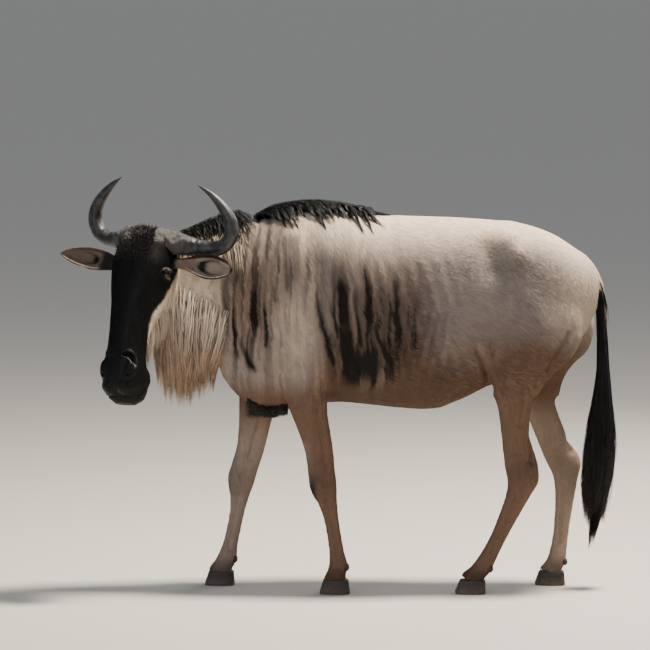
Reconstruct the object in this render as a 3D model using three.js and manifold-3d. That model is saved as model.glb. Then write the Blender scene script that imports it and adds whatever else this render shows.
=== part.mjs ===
// A life-size wildebeest standing in mid-stride, its head turned to its left.
// The whole animal is lofted from cross-sections, joined into one solid, and parted by thin cuts into
// head, neck, three lengths of trunk, legs, hooves, ears, horns, eyes and tail.
// Millimetres. +Z is up, the animal faces -X, and -Y is its left side. The floor is at Z 0.
import * as THREE from "three";
import { mergeVertices } from "three/addons/utils/BufferGeometryUtils.js";
import Module from "manifold-3d";

const wasm = await Module();
wasm.setup();

// Driving sizes
const GAP = 0.3;
const HEAD_PITCH = THREE.MathUtils.degToRad(16);
const HEAD_YAW = THREE.MathUtils.degToRad(60);
const HEAD_ROLL = THREE.MathUtils.degToRad(-2);
const HORN_ROLL = THREE.MathUtils.degToRad(3);
const HEAD_AT = new THREE.Vector3(-843, -165, 1163);
const EYE = { down: 122, side: 81, back: 74, radius: 19.5 };
const SOLE_TOP = 44;
const CLEFT = 5;

// Rings along each body and points round each ring
const TRUNK_MESH = [27, 22];
const NECK_MESH = [9, 20];
const LEG_MESH = [24, 10];
const HEAD_MESH = [26, 22];

const COATS = {
  coat: new THREE.MeshStandardMaterial({ color: 0xb7aa9d, roughness: 0.85, metalness: 0 }),
  dark: new THREE.MeshStandardMaterial({ color: 0x1c1a1a, roughness: 0.8, metalness: 0 }),
  horn: new THREE.MeshStandardMaterial({ color: 0x4b4a4c, roughness: 0.45, metalness: 0 }),
  hoof: new THREE.MeshStandardMaterial({ color: 0x2b2725, roughness: 0.5, metalness: 0 }),
  eye: new THREE.MeshStandardMaterial({ color: 0x120c08, roughness: 0.08, metalness: 0 }),
};

// Geometry helpers

const lerp = THREE.MathUtils.lerp;
const signedPower = (x, p) => Math.sign(x) * Math.abs(x) ** p;

// A smooth value between keys at uneven places: cubic Hermite with mean slopes, which doesn't overshoot much.
function smoothAt(places, values, t) {
  const last = places.length - 1;
  let i = 0;
  while (i < last - 1 && t > places[i + 1]) i++;
  const slope = (k) => {
    const a = Math.max(k - 1, 0);
    const b = Math.min(k + 1, last);
    return (values[b] - values[a]) / (places[b] - places[a]);
  };
  const span = places[i + 1] - places[i];
  const s = THREE.MathUtils.clamp((t - places[i]) / span, 0, 1);
  const s2 = s * s;
  const s3 = s2 * s;
  return (
    (2 * s3 - 3 * s2 + 1) * values[i] +
    (s3 - 2 * s2 + s) * span * slope(i) +
    (3 * s2 - 2 * s3) * values[i + 1] +
    (s3 - s2) * span * slope(i + 1)
  );
}

// A body of rings. Each station has a crest and a keel point in the XZ plane, its middle y, its half width,
// a fullness (2 is an ellipse, more is squarer) and a lean (more than 0 puts the width nearer the crest).
class Loft {
  constructor(stations, grow = 0) {
    this.grow = grow;
    this.places = [0];
    this.values = stations.map((s) => [
      s.crest[0],
      s.crest[1],
      s.keel[0],
      s.keel[1],
      s.y ?? 0,
      s.half,
      s.fullness ?? 2.2,
      s.lean ?? 0,
    ]);
    for (let i = 1; i < stations.length; i++) {
      const [a, b] = [this.values[i - 1], this.values[i]];
      const dx = (b[0] + b[2] - a[0] - a[2]) / 2;
      const dz = (b[1] + b[3] - a[1] - a[3]) / 2;
      this.places.push(this.places[i - 1] + Math.hypot(dx, b[4] - a[4], dz));
    }
    this.length = this.places.at(-1);
  }

  // The point at share t of the length, and at an angle that runs from the crest (0) towards -Y.
  at(t, angle) {
    const place = t * this.length;
    const v = this.values[0].map((_, k) =>
      smoothAt(this.places, this.values.map((row) => row[k]), place),
    );
    const [cx, cz, kx, kz, y, half, fullness, lean] = v;
    const tall = Math.hypot(cx - kx, cz - kz) / 2;
    const c = signedPower(Math.cos(angle), 2 / fullness);
    const s = signedPower(Math.sin(angle), 2 / fullness);
    const up = (c * (tall + this.grow)) / tall / 2;
    return new THREE.Vector3(
      (cx + kx) / 2 + up * (cx - kx),
      y - s * (half * (1 + lean * c) + this.grow),
      (cz + kz) / 2 + up * (cz - kz),
    );
  }

  // The outward normal there.
  normalAt(t, angle) {
    const step = 0.01;
    const along = this.at(Math.min(t + step, 1), angle).sub(this.at(Math.max(t - step, 0), angle));
    const around = this.at(t, angle + step).sub(this.at(t, angle - step));
    const normal = along.cross(around).normalize();
    return normal.dot(this.at(t, angle).sub(this.middleAt(t))) < 0 ? normal.negate() : normal;
  }

  middleAt(t) {
    return this.at(t, 0).add(this.at(t, Math.PI)).multiplyScalar(0.5);
  }

  // The share of the length at which a falling measure of the place passes a value.
  shareWhere(measure, value) {
    let low = 0;
    let high = 1;
    for (let i = 0; i < 20; i++) {
      const mid = (low + high) / 2;
      if (measure(mid) > value) low = mid;
      else high = mid;
    }
    return low;
  }

  solid(rings, sides) {
    const grid = [];
    for (let i = 0; i <= rings; i++) {
      const row = [];
      for (let j = 0; j < sides; j++) row.push(this.at(i / rings, (j / sides) * 2 * Math.PI));
      grid.push(row);
    }
    return ringSolid(grid);
  }
}

// Closes a stack of rings with a fan at each end. A ring of one point is a tip.
function ringSolid(grid) {
  const points = [];
  const faces = [];
  const rows = grid.map((row) => row.map((p) => points.push(p) - 1));
  for (let i = 0; i + 1 < rows.length; i++) {
    const [a, b] = [rows[i], rows[i + 1]];
    const n = Math.max(a.length, b.length);
    for (let j = 0; j < n; j++) {
      const k = (j + 1) % n;
      if (b.length === 1) faces.push([a[j], b[0], a[k]]);
      else if (a.length === 1) faces.push([a[0], b[j], b[k]]);
      else faces.push([a[j], b[j], b[k]], [a[j], b[k], a[k]]);
    }
  }
  for (const [row, flip] of [[rows[0], false], [rows.at(-1), true]]) {
    if (row.length === 1) continue;
    const centre = new THREE.Vector3();
    row.forEach((i) => centre.add(points[i]));
    const middle = points.push(centre.divideScalar(row.length)) - 1;
    row.forEach((i, j) => {
      const k = row[(j + 1) % row.length];
      faces.push(flip ? [middle, k, i] : [middle, i, k]);
    });
  }
  const geometry = new THREE.BufferGeometry();
  geometry.setAttribute(
    "position",
    new THREE.Float32BufferAttribute(points.flatMap((p) => [p.x, p.y, p.z]), 3),
  );
  geometry.setIndex(faces.flat());
  return solidOf(geometry);
}

// A closed three.js geometry as a solid, turned right side out where it has to be.
function solidOf(geometry) {
  const bare = geometry.clone();
  bare.deleteAttribute("normal");
  bare.deleteAttribute("uv");
  const merged = mergeVertices(bare, 1e-3);
  const make = (triVerts) =>
    new wasm.Manifold(
      new wasm.Mesh({
        numProp: 3,
        vertProperties: new Float32Array(merged.attributes.position.array),
        triVerts,
      }),
    );
  const corners = new Uint32Array(merged.index.array);
  const made = make(corners);
  if (made.volume() > 0) return made;
  for (let i = 0; i < corners.length; i += 3)
    [corners[i + 1], corners[i + 2]] = [corners[i + 2], corners[i + 1]];
  return make(corners);
}

const union = (solids) => solids.reduce((sum, s) => sum.add(s));

function geometryOf(solid) {
  const mesh = solid.getMesh();
  const geometry = new THREE.BufferGeometry();
  const positions = new Float32Array(mesh.numVert * 3);
  for (let i = 0; i < mesh.numVert; i++)
    positions.set(mesh.vertProperties.subarray(i * mesh.numProp, i * mesh.numProp + 3), i * 3);
  geometry.setAttribute("position", new THREE.BufferAttribute(positions, 3));
  geometry.setIndex(new THREE.BufferAttribute(new Uint32Array(mesh.triVerts), 1));
  return geometry;
}

// The same solid moved by a matrix.
const moved = (solid, matrix) => solidOf(geometryOf(solid).applyMatrix4(matrix));

// A round tapering sweep along a smooth curve through points.
function sweep(points, radiusAt, steps, sides, flatness = 1) {
  const curve = new THREE.CatmullRomCurve3(points);
  const frames = curve.computeFrenetFrames(steps);
  const grid = [];
  for (let i = 0; i <= steps; i++) {
    const centre = curve.getPointAt(i / steps);
    const radius = radiusAt(i / steps);
    if (radius < 0.4) {
      grid.push([centre]);
      continue;
    }
    const row = [];
    for (let j = 0; j < sides; j++) {
      const angle = (j / sides) * 2 * Math.PI;
      row.push(
        centre
          .clone()
          .addScaledVector(frames.normals[i], Math.cos(angle) * radius)
          .addScaledVector(frames.binormals[i], Math.sin(angle) * radius * flatness),
      );
    }
    grid.push(row);
  }
  return ringSolid(grid);
}

// An ellipsoid with half-sizes a, b, c.
function ellipsoid(centre, [a, b, c], across = 16, tall = 10) {
  const geometry = new THREE.SphereGeometry(1, across, tall);
  geometry.scale(a, b, c);
  geometry.translate(centre.x, centre.y, centre.z);
  return solidOf(geometry);
}

// A thin slab for parting, centred at a point and square to a direction.
function slab(centre, direction, wide, tall, thick = GAP) {
  const geometry = new THREE.BoxGeometry(wide, tall, thick);
  const turn = new THREE.Quaternion().setFromUnitVectors(
    new THREE.Vector3(0, 0, 1),
    direction.clone().normalize(),
  );
  geometry.applyQuaternion(turn);
  geometry.translate(centre.x, centre.y, centre.z);
  return solidOf(geometry);
}

const at = (x, y, z) => new THREE.Vector3(x, y, z);

// Trunk: withers at 1.23 m, a straight back, a rounded rump and a deep brisket between the forelegs.
const TRUNK = [
  { crest: [632, 1010], keel: [628, 900], half: 44 },
  { crest: [612, 1058], keel: [600, 838], half: 92 },
  { crest: [560, 1103], keel: [556, 770], half: 132 },
  { crest: [480, 1152], keel: [478, 716], half: 160, fullness: 2.3 },
  { crest: [384, 1183], keel: [384, 672], half: 172, fullness: 2.4, lean: 0.05 },
  { crest: [288, 1194], keel: [288, 652], half: 176, fullness: 2.3 },
  { crest: [192, 1201], keel: [192, 606], half: 190, fullness: 2.2, lean: -0.06 },
  { crest: [96, 1205], keel: [96, 577], half: 202, fullness: 2.15, lean: -0.1 },
  { crest: [0, 1208], keel: [0, 580], half: 207, fullness: 2.1, lean: -0.1 },
  { crest: [-96, 1214], keel: [-96, 590], half: 202, fullness: 2.1, lean: -0.08 },
  { crest: [-192, 1229], keel: [-192, 598], half: 186, fullness: 2.1, lean: -0.05 },
  { crest: [-288, 1232], keel: [-288, 590], half: 166, fullness: 2.1, lean: -0.04 },
  { crest: [-368, 1221], keel: [-368, 572], half: 148, fullness: 2.1, lean: -0.04 },
  { crest: [-432, 1202], keel: [-436, 566], half: 130, fullness: 2.1, lean: -0.04 },
  { crest: [-496, 1170], keel: [-506, 606], half: 108, fullness: 2.1 },
  { crest: [-556, 1110], keel: [-562, 672], half: 82 },
  { crest: [-600, 1010], keel: [-602, 770], half: 46 },
];

// Neck: nearly level, deep at the chest, narrow and bent to the left at the head.
const NECK = [
  { crest: [-396, 1203], keel: [-500, 640], half: 122 },
  { crest: [-480, 1188], keel: [-570, 712], half: 108, fullness: 2.1 },
  { crest: [-550, 1174], keel: [-624, 790], half: 93, fullness: 2.1 },
  { crest: [-614, 1160], keel: [-672, 836], y: -4, half: 83, fullness: 2.1 },
  { crest: [-672, 1149], keel: [-714, 874], y: -12, half: 77, fullness: 2.1 },
  { crest: [-722, 1134], keel: [-748, 902], y: -24, half: 72 },
  { crest: [-762, 1114], keel: [-772, 930], y: -42, half: 62 },
  { crest: [-788, 1092], keel: [-790, 962], y: -60, half: 46 },
];

// Legs: each is a chain of bones. A row says which bone, how far along it, and the flesh before, behind and
// beside it.
const FORELEG = [
  { bone: 0, share: 0, fore: 60, aft: 60, side: 26 },
  { bone: 0, share: 0.5, fore: 94, aft: 88, side: 50 },
  { bone: 1, share: 0, fore: 102, aft: 80, side: 52 },
  { bone: 1, share: 0.18, fore: 93, aft: 60, side: 47 },
  { bone: 1, share: 0.36, fore: 76, aft: 47, side: 41 },
  { bone: 1, share: 0.54, fore: 59, aft: 47, side: 36 },
  { bone: 1, share: 0.7, fore: 48, aft: 48, side: 33 },
  { bone: 1, share: 0.86, fore: 48, aft: 45, side: 34 },
  { bone: 2, share: 0, fore: 48, aft: 44, side: 36 },
  { bone: 2, share: 0.1, fore: 39, aft: 40, side: 33 },
  { bone: 2, share: 0.2, fore: 31, aft: 36, side: 28 },
  { bone: 2, share: 0.38, fore: 23, aft: 32, side: 22 },
  { bone: 2, share: 0.6, fore: 22, aft: 30, side: 20 },
  { bone: 2, share: 0.85, fore: 26, aft: 30, side: 23 },
  { bone: 3, share: 0, fore: 34, aft: 34, side: 28 },
  { bone: 3, share: 0.5, fore: 36, aft: 31, side: 26 },
  { bone: 3, share: 1, fore: 42, aft: 38, side: 32 },
  { bone: 3, share: 1.7, fore: 48, aft: 42, side: 34 },
];
const HINDLEG = [
  { bone: 0, share: 0, fore: 70, aft: 60, side: 30 },
  { bone: 0, share: 0.35, fore: 138, aft: 150, side: 68 },
  { bone: 0, share: 0.7, fore: 138, aft: 160, side: 68 },
  { bone: 1, share: 0, fore: 112, aft: 108, side: 58 },
  { bone: 1, share: 0.2, fore: 98, aft: 64, side: 47 },
  { bone: 1, share: 0.36, fore: 82, aft: 42, side: 40 },
  { bone: 1, share: 0.55, fore: 73, aft: 38, side: 35 },
  { bone: 1, share: 0.75, fore: 66, aft: 46, side: 32 },
  { bone: 1, share: 0.92, fore: 59, aft: 54, side: 33 },
  { bone: 2, share: 0, fore: 56, aft: 56, side: 34 },
  { bone: 2, share: 0.12, fore: 39, aft: 50, side: 30 },
  { bone: 2, share: 0.25, fore: 29, aft: 46, side: 26 },
  { bone: 2, share: 0.5, fore: 23, aft: 39, side: 21 },
  { bone: 2, share: 0.7, fore: 22, aft: 35, side: 21 },
  { bone: 2, share: 0.88, fore: 27, aft: 33, side: 24 },
  { bone: 3, share: 0, fore: 34, aft: 33, side: 28 },
  { bone: 3, share: 0.5, fore: 35, aft: 30, side: 26 },
  { bone: 3, share: 1, fore: 41, aft: 37, side: 32 },
  { bone: 3, share: 1.7, fore: 47, aft: 41, side: 34 },
];
// Joint centres, from the shoulder or hip down to the coronet, as the stride has them.
const LEGS = {
  front_left: {
    flesh: FORELEG,
    joints: [
      at(-330, -106, 945),
      at(-294, -118, 722),
      at(-243, -106, 343),
      at(-197, -102, 87),
      at(-205, -102, SOLE_TOP),
    ],
    toe: -258,
  },
  front_right: {
    flesh: FORELEG,
    joints: [
      at(-396, 76, 925),
      at(-412, 108, 690),
      at(-510, 106, 336),
      at(-557, 102, 86),
      at(-575, 102, SOLE_TOP),
    ],
    toe: -630,
  },
  hind_left: {
    flesh: HINDLEG,
    joints: [
      at(464, -86, 1040),
      at(387, -108, 724),
      at(390, -104, 371),
      at(262, -100, 82),
      at(232, -100, SOLE_TOP),
    ],
    toe: 174,
  },
  hind_right: {
    flesh: HINDLEG,
    joints: [
      at(486, 86, 1024),
      at(448, 106, 698),
      at(534, 104, 390),
      at(509, 100, 78),
      at(493, 100, SOLE_TOP),
    ],
    toe: 438,
  },
};

function legStations({ flesh, joints }) {
  const bones = joints.slice(1).map((j, i) => j.clone().sub(joints[i]));
  return flesh.map(({ bone, share, fore, aft, side }) => {
    const middle = joints[bone].clone().addScaledVector(bones[bone], share);
    const before = share === 0 && bone > 0 ? bones[bone - 1] : bones[bone];
    const down = bones[bone].clone().normalize().add(before.clone().normalize()).setY(0).normalize();
    return {
      crest: [middle.x + down.z * fore, middle.z - down.x * fore],
      keel: [middle.x - down.z * aft, middle.z + down.x * aft],
      y: middle.y,
      half: side,
      fullness: 2.2,
    };
  });
}

// Hooves: two claws to a foot, each a wall that slopes from the sole to the coronet.
const CLAW = { sole: 98, top: 80, soleHalf: 19, topHalf: 15.5 };

function clawSolid(front, side) {
  const stations = [0, 0.4, 0.75, 1].map((share) => {
    const nose = lerp(front, -CLAW.top / 2, share);
    const half = lerp(CLAW.soleHalf, CLAW.topHalf, share);
    const height = share * SOLE_TOP;
    return {
      crest: [nose, height],
      keel: [nose + lerp(CLAW.sole, CLAW.top, share), height],
      y: side * (CLEFT / 2 + half),
      half,
      fullness: 2.4,
      lean: -0.22,
    };
  });
  return new Loft(stations).solid(3, 12);
}

// Tail: a thin dock that leaves the rump and hangs straight down behind it, to the end of its bones.
const DOCK = [
  { crest: [508, 1100], keel: [490, 1050], half: 28 },
  { crest: [552, 1092], keel: [524, 1040], half: 28 },
  { crest: [584, 1090], keel: [556, 1040], half: 26 },
  { crest: [626, 1044], keel: [596, 1012], half: 21 },
  { crest: [652, 984], keel: [622, 968], half: 17 },
  { crest: [662, 900], keel: [634, 896], half: 14 },
  { crest: [664, 800], keel: [638, 800], half: 13 },
  { crest: [664, 640], keel: [636, 640], half: 14 },
  { crest: [656, 500], keel: [632, 500], half: 12 },
  { crest: [644, 410], keel: [632, 410], half: 5 },
];

// Head, upright and facing -X before it is turned. Down its face is -Z.
const face = (down, front, back, half, more = {}) => ({
  crest: [front, -down],
  keel: [back, -down],
  half,
  fullness: 2.5,
  ...more,
});
const HEAD = [
  face(-14, 60, 102, 30),
  face(-6, 34, 136, 58),
  face(16, 6, 162, 82),
  face(52, -5, 184, 93),
  face(96, -10, 198, 96, { fullness: 2.8, lean: 0.04 }),
  face(138, -14, 203, 92, { fullness: 2.8, lean: 0.05 }),
  face(180, -17, 196, 85, { fullness: 2.7, lean: 0.06 }),
  face(226, -20, 172, 75, { lean: 0.06 }),
  face(280, -22, 134, 65, { lean: 0.06 }),
  face(334, -22, 108, 59, { lean: 0.06 }),
  face(384, -22, 103, 59, { fullness: 2.6, lean: 0.06 }),
  face(430, -23, 112, 65, { fullness: 2.7, lean: 0.04 }),
  face(474, -19, 120, 69, { fullness: 2.8 }),
  face(504, -6, 120, 66, { fullness: 2.8 }),
  face(526, 14, 110, 56, { fullness: 2.7 }),
  face(544, 42, 92, 36),
];

// A solid of the head's own frame set in the animal's.
const turned = (roll) =>
  new THREE.Matrix4()
    .makeRotationZ(HEAD_YAW)
    .multiply(new THREE.Matrix4().makeRotationX(roll))
    .multiply(new THREE.Matrix4().makeRotationY(HEAD_PITCH))
    .setPosition(HEAD_AT);
const headMatrix = turned(HEAD_ROLL);

const skull = new Loft(HEAD);

// Brow and orbit, cheek, nostril and lower lip swell out of the plain head on both sides.
const SWELLS = [
  { at: [EYE.back, EYE.side - 12, -EYE.down + 6], size: [36, 32, 40] },
  { at: [138, 50, -156], size: [60, 35, 84] },
  { at: [8, 43, -440], size: [29, 24, 42] },
  { at: [84, 20, -508], size: [42, 34, 30] },
];

// Lids: a shell round each eye, open where the eye shows.
const LIDS = { thick: 5, opening: [19, 26, 13], forward: 10 };

// Mouth: a groove round the lips, down from the corner of the mouth.
const MOUTH = { width: 3, depth: 11, corner: 446, chin: 528, back: 92 };

// Nostrils: long slits that curl over at the top.
const NOSTRIL = {
  path: [
    [-20, 34, -408],
    [-8, 50, -410],
    [5, 60, -430],
    [3, 58, -455],
    [-12, 44, -474],
  ],
  width: 9,
  end: 2,
};

// A place given for the right side, on either side.
const beside = ([x, y, z], side) => at(x, side * y, z);
const eyeCentre = (side) => at(EYE.back, side * EYE.side, -EYE.down);

function mouthCutter() {
  const curve = new THREE.CatmullRomCurve3([
    at(-70, 0, -MOUTH.chin + 6),
    at(0, 0, -MOUTH.chin + 4),
    at(48, 0, -MOUTH.chin + 16),
    at(84, 0, -MOUTH.chin + 52),
    at(100, 0, -MOUTH.corner),
  ]);
  const steps = 7;
  const grid = [];
  for (let i = 0; i <= steps; i++) {
    const middle = curve.getPointAt(i / steps);
    const along = curve.getTangentAt(i / steps);
    const across = at(along.z, 0, -along.x).normalize().multiplyScalar(MOUTH.width / 2);
    grid.push([
      middle.clone().add(across).setY(-120),
      middle.clone().add(across).setY(120),
      middle.clone().sub(across).setY(120),
      middle.clone().sub(across).setY(-120),
    ]);
  }
  return ringSolid(grid).subtract(new Loft(HEAD, -MOUTH.depth).solid(16, 14));
}

function headSolid() {
  const parts = [skull.solid(...HEAD_MESH)];
  for (const side of [-1, 1]) {
    for (const { at: place, size } of SWELLS) parts.push(ellipsoid(beside(place, side), size, 10, 7));
    const lid = EYE.radius + LIDS.thick;
    parts.push(ellipsoid(eyeCentre(side), [lid, lid, lid], 12, 8));
  }
  let solid = union(parts);
  for (const side of [-1, 1]) {
    const socket = EYE.radius + GAP;
    const opening = eyeCentre(side).add(at(-3, side * LIDS.forward, 1));
    solid = solid.subtract(ellipsoid(eyeCentre(side), [socket, socket, socket], 12, 8));
    solid = solid.subtract(ellipsoid(opening, LIDS.opening, 10, 7));
    const path = NOSTRIL.path.map((place) => beside(place, side));
    const bore = (t) => NOSTRIL.end + NOSTRIL.width * Math.sin(Math.PI * (0.15 + 0.7 * t));
    solid = solid.subtract(sweep(path, bore, 5, 6));
  }
  return largest(solid.subtract(mouthCutter()));
}

// Horns: thick rough bosses that meet on the poll, out and a little down, then up and in to smooth tips.
const HORN = {
  curve: [
    [58, 8, -40],
    [70, 40, -16],
    [91, 68, -8],
    [119, 107, -8],
    [142, 150, -9],
    [154, 195, -5],
    [153, 231, 10],
    [144, 252, 46],
    [131, 247, 86],
    [115, 219, 127],
    [98, 181, 160],
    [78, 139, 183],
  ],
  radius: [34, 37, 33, 26, 21, 19.5, 19.5, 18, 14, 8.5, 0.3],
  spread: { left: 1.035, right: 0.965 },
  parting: 3,
};

function hornSolid(side, spread) {
  const points = HORN.curve.map((place) => beside(place, side * spread));
  const places = HORN.radius.map((_, i) => i / (HORN.radius.length - 1));
  const horn = sweep(points, (t) => smoothAt(places, HORN.radius, t), 18, 9);
  return horn.trimByPlane([0, side, 0], HORN.parting);
}

// Ears: a stalk that opens into a long cup and closes to a point. The cup faces forward.
const EAR = {
  root: { left: [100, 66, -78], right: [100, 66, -92] },
  length: 240,
  rise: { left: -0.04, right: 0.17 },
  turn: { left: 6, right: -16 },
  shares: [0, 0.12, 0.25, 0.38, 0.52, 0.66, 0.79, 0.9, 0.97, 1],
  half: [23, 24, 25, 29, 35, 37, 33, 23, 11, 0],
  depth: [22, 23, 25, 28, 30, 29, 24, 16, 8, 0],
  cup: [0, 0, 0.15, 0.6, 0.9, 1, 1, 1, 0.8, 0],
  wall: 5,
};

function earSolid(side, word) {
  const yaw = THREE.MathUtils.degToRad(EAR.turn[word]);
  const along = at(Math.sin(yaw), side * Math.cos(yaw), EAR.rise[word]).normalize();
  const up = at(0, 0, 1).addScaledVector(along, -along.z).normalize();
  const back = along.clone().cross(up).multiplyScalar(side);
  const root = beside(EAR.root[word], side);
  const arcs = 7;
  const grid = EAR.shares.map((share, k) => {
    const droop = -10 * share * share;
    const centre = root.clone().addScaledVector(along, share * EAR.length).addScaledVector(up, droop);
    if (EAR.half[k] === 0) return [centre];
    const ring = [];
    const place = (w, d, angle) =>
      ring.push(
        centre
          .clone()
          .addScaledVector(up, w * Math.sin(angle))
          .addScaledVector(back, d * Math.cos(angle)),
      );
    for (let j = 0; j <= arcs; j++) place(EAR.half[k], EAR.depth[k], -Math.PI / 2 + (Math.PI * j) / arcs);
    const wall = Math.min(EAR.wall, EAR.half[k] * 0.4);
    const hollow = (EAR.depth[k] - wall) * EAR.cup[k];
    for (let j = arcs; j >= 0; j--)
      place(EAR.half[k] - wall, hollow - 4 * (1 - EAR.cup[k]), -Math.PI / 2 + (Math.PI * j) / arcs);
    return ring;
  });
  return ringSolid(grid);
}

// Keeps the largest closed body of a solid.
function largest(solid) {
  return solid.decompose().sort((a, b) => b.volume() - a.volume())[0];
}

// The two sides of a plane, each half the gap away from it. The first is the side the normal points from.
function partAt(solid, through, normal) {
  const n = normal.clone().normalize();
  const offset = through.dot(n);
  return [
    largest(solid.trimByPlane(n.clone().negate().toArray(), -(offset - GAP / 2))),
    largest(solid.trimByPlane(n.toArray(), offset + GAP / 2)),
  ];
}

// Locks of hair: flat, tapered and bent, with the root sunk in what they grow from.
const LOCK = { sink: 14, clear: 4, rings: 4, shape: [0.55, 1, 0.94, 0.66], thinness: 0.4 };

// The same draw every time: a small generator with a fixed seed.
function seeded(seed) {
  let state = seed;
  return (low = 0, high = 1) => {
    state = (state * 1664525 + 1013904223) % 4294967296;
    return low + ((high - low) * state) / 4294967296;
  };
}

// A lock along a path of points: a low three-sided section whose ridge is on the side of the normals given.
function lockSolid(path, normals, width) {
  const grid = [];
  for (let i = 0; i < LOCK.rings; i++) {
    const along = path[Math.min(i + 1, path.length - 1)].clone().sub(path[Math.max(i - 1, 0)]).normalize();
    const across = along.clone().cross(normals[i]).normalize();
    const out = across.clone().cross(along);
    const half = (width / 2) * LOCK.shape[i];
    grid.push([
      path[i].clone().addScaledVector(across, half),
      path[i].clone().addScaledVector(out, half * LOCK.thinness),
      path[i].clone().addScaledVector(across, -half),
    ]);
  }
  grid.push([path[LOCK.rings]]);
  return ringSolid(grid);
}

// A lock that lies over a body from one place on it to another, lifted most in its first half.
function drapedLock(loft, from, to, { width, lift, sway }) {
  const path = [];
  const normals = [];
  for (let i = 0; i <= LOCK.rings; i++) {
    const u = i / LOCK.rings;
    const t = lerp(from.t, to.t, u ** 1.3);
    const angle = lerp(from.angle, to.angle, u) + sway * Math.sin(Math.PI * u);
    const normal = loft.normalAt(t, angle);
    const bulge = lift * Math.sin(Math.PI * Math.min(u * 1.1, 1)) * (1 - 0.4 * u);
    path.push(loft.at(t, angle).addScaledVector(normal, i === 0 ? -LOCK.sink : LOCK.clear + bulge));
    normals.push(normal);
  }
  return lockSolid(path, normals, width);
}

// A lock that leaves a surface along a lie and hangs down under its own weight.
function hangingLock(root, normal, lie, { length, width, sway }) {
  const path = [root.clone().addScaledVector(normal, -LOCK.sink)];
  const normals = [normal.clone()];
  const down = at(0, 0, -1);
  const aside = down.clone().cross(normal).normalize();
  let place = root.clone().addScaledVector(normal, 2);
  for (let i = 1; i <= LOCK.rings; i++) {
    path.push(place.clone());
    normals.push(normal.clone());
    const u = i / LOCK.rings;
    const heading = lie
      .clone()
      .lerp(down, 0.35 + 0.65 * u)
      .addScaledVector(aside, sway * Math.sin(Math.PI * 1.5 * u))
      .normalize();
    place = place.addScaledVector(heading, length / (LOCK.rings - 0.4));
  }
  path[0].addScaledVector(down, -4);
  return lockSolid(path, normals, width);
}

// The share of the length of the trunk or the neck at which its crest has a given x.
const shareAt = (loft, x) => loft.shareWhere((t) => loft.at(t, 0).x, x);

// Mane: long black locks from the withers that fall over both sides and lie back, shorter ones up the neck.
const MANE = {
  withers: {
    from: -468,
    to: -96,
    count: 9,
    drop: [0.6, 0.86],
    back: [50, 84],
    width: [38, 48],
    lift: [6, 11],
  },
  neck: {
    from: -752,
    to: -510,
    count: 6,
    drop: [0.42, 0.66],
    back: [34, 58],
    width: [34, 42],
    lift: [8, 14],
  },
  crest: { from: -746, to: -140, count: 12, back: [78, 104], width: [48, 30], rise: [44, 14] },
};

function maneLocks(trunk, neck) {
  const draw = seeded(11);
  const locks = [];
  for (const [loft, row] of [[trunk, MANE.withers], [neck, MANE.neck]]) {
    for (let i = 0; i < row.count; i++) {
      for (const side of [1, -1]) {
        const x = lerp(row.from, row.to, (i + draw(-0.3, 0.3) + (side > 0 ? 0.2 : 0.6)) / row.count);
        const fade = Math.sin(Math.PI * Math.min(0.25 + (0.75 * i) / row.count, 0.9)) * 0.3 + 0.7;
        const from = { t: shareAt(loft, x), angle: side * draw(0.02, 0.1) };
        const to = { t: shareAt(loft, x + draw(...row.back)), angle: side * draw(...row.drop) * fade };
        const options = { width: draw(...row.width), lift: draw(...row.lift), sway: draw(-0.05, 0.05) };
        locks.push(drapedLock(loft, from, to, options));
      }
    }
  }
  const { from, to, count, back, width, rise } = MANE.crest;
  for (let i = 0; i < count; i++) {
    const share = (i + draw(0.2, 0.8)) / count;
    const x = lerp(from, to, share);
    const reach = draw(...back);
    const tall = lerp(...rise, share) * Math.min(0.5 + 3 * share, 1);
    const lean = draw(-0.12, 0.12);
    const path = [-LOCK.sink, 0.45 * tall, 0.8 * tall, 0.95 * tall, 0.8 * tall].map((height, k) => {
      const place = x + (reach * k) / LOCK.rings;
      const loft = place < -490 ? neck : trunk;
      const t = shareAt(loft, place);
      return loft.at(t, (lean * k) / 2).add(at(0, 0, height));
    });
    const wide = lerp(...width, share) * draw(0.9, 1.15);
    locks.push(lockSolid(path, path.map(() => at(0, Math.sign(lean), 0.3)), wide));
  }
  return locks;
}

// Beard: long straight locks in rows along the throat and on both its sides.
const BEARD = {
  from: 0.3,
  to: 0.96,
  rows: [
    { angle: Math.PI, count: 8, length: [230, 300] },
    { angle: Math.PI - 0.36, count: 8, length: [225, 290] },
    { angle: Math.PI + 0.36, count: 6, length: [210, 280] },
    { angle: Math.PI - 0.7, count: 4, length: [170, 230] },
  ],
  width: [38, 50],
};

function beardLocks(neck) {
  const draw = seeded(5);
  const locks = [];
  for (const { angle, count, length } of BEARD.rows) {
    for (let i = 0; i < count; i++) {
      const share = (i + draw(0.2, 0.8)) / count;
      const t = lerp(BEARD.from, BEARD.to, share);
      const place = angle + draw(-0.08, 0.08);
      const root = neck.at(t, place);
      const normal = neck.normalAt(t, place);
      const lie = at(draw(-0.35, 0.05), 0, -0.5).addScaledVector(normal, 0.6).normalize();
      const full = 0.55 + 0.45 * Math.sin(Math.PI * Math.min(0.12 + share * 0.75, 1));
      locks.push(
        hangingLock(root, normal, lie, {
          length: draw(...length) * full,
          width: draw(...BEARD.width),
          sway: draw(-0.12, 0.12),
        }),
      );
    }
  }
  return locks;
}

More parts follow.
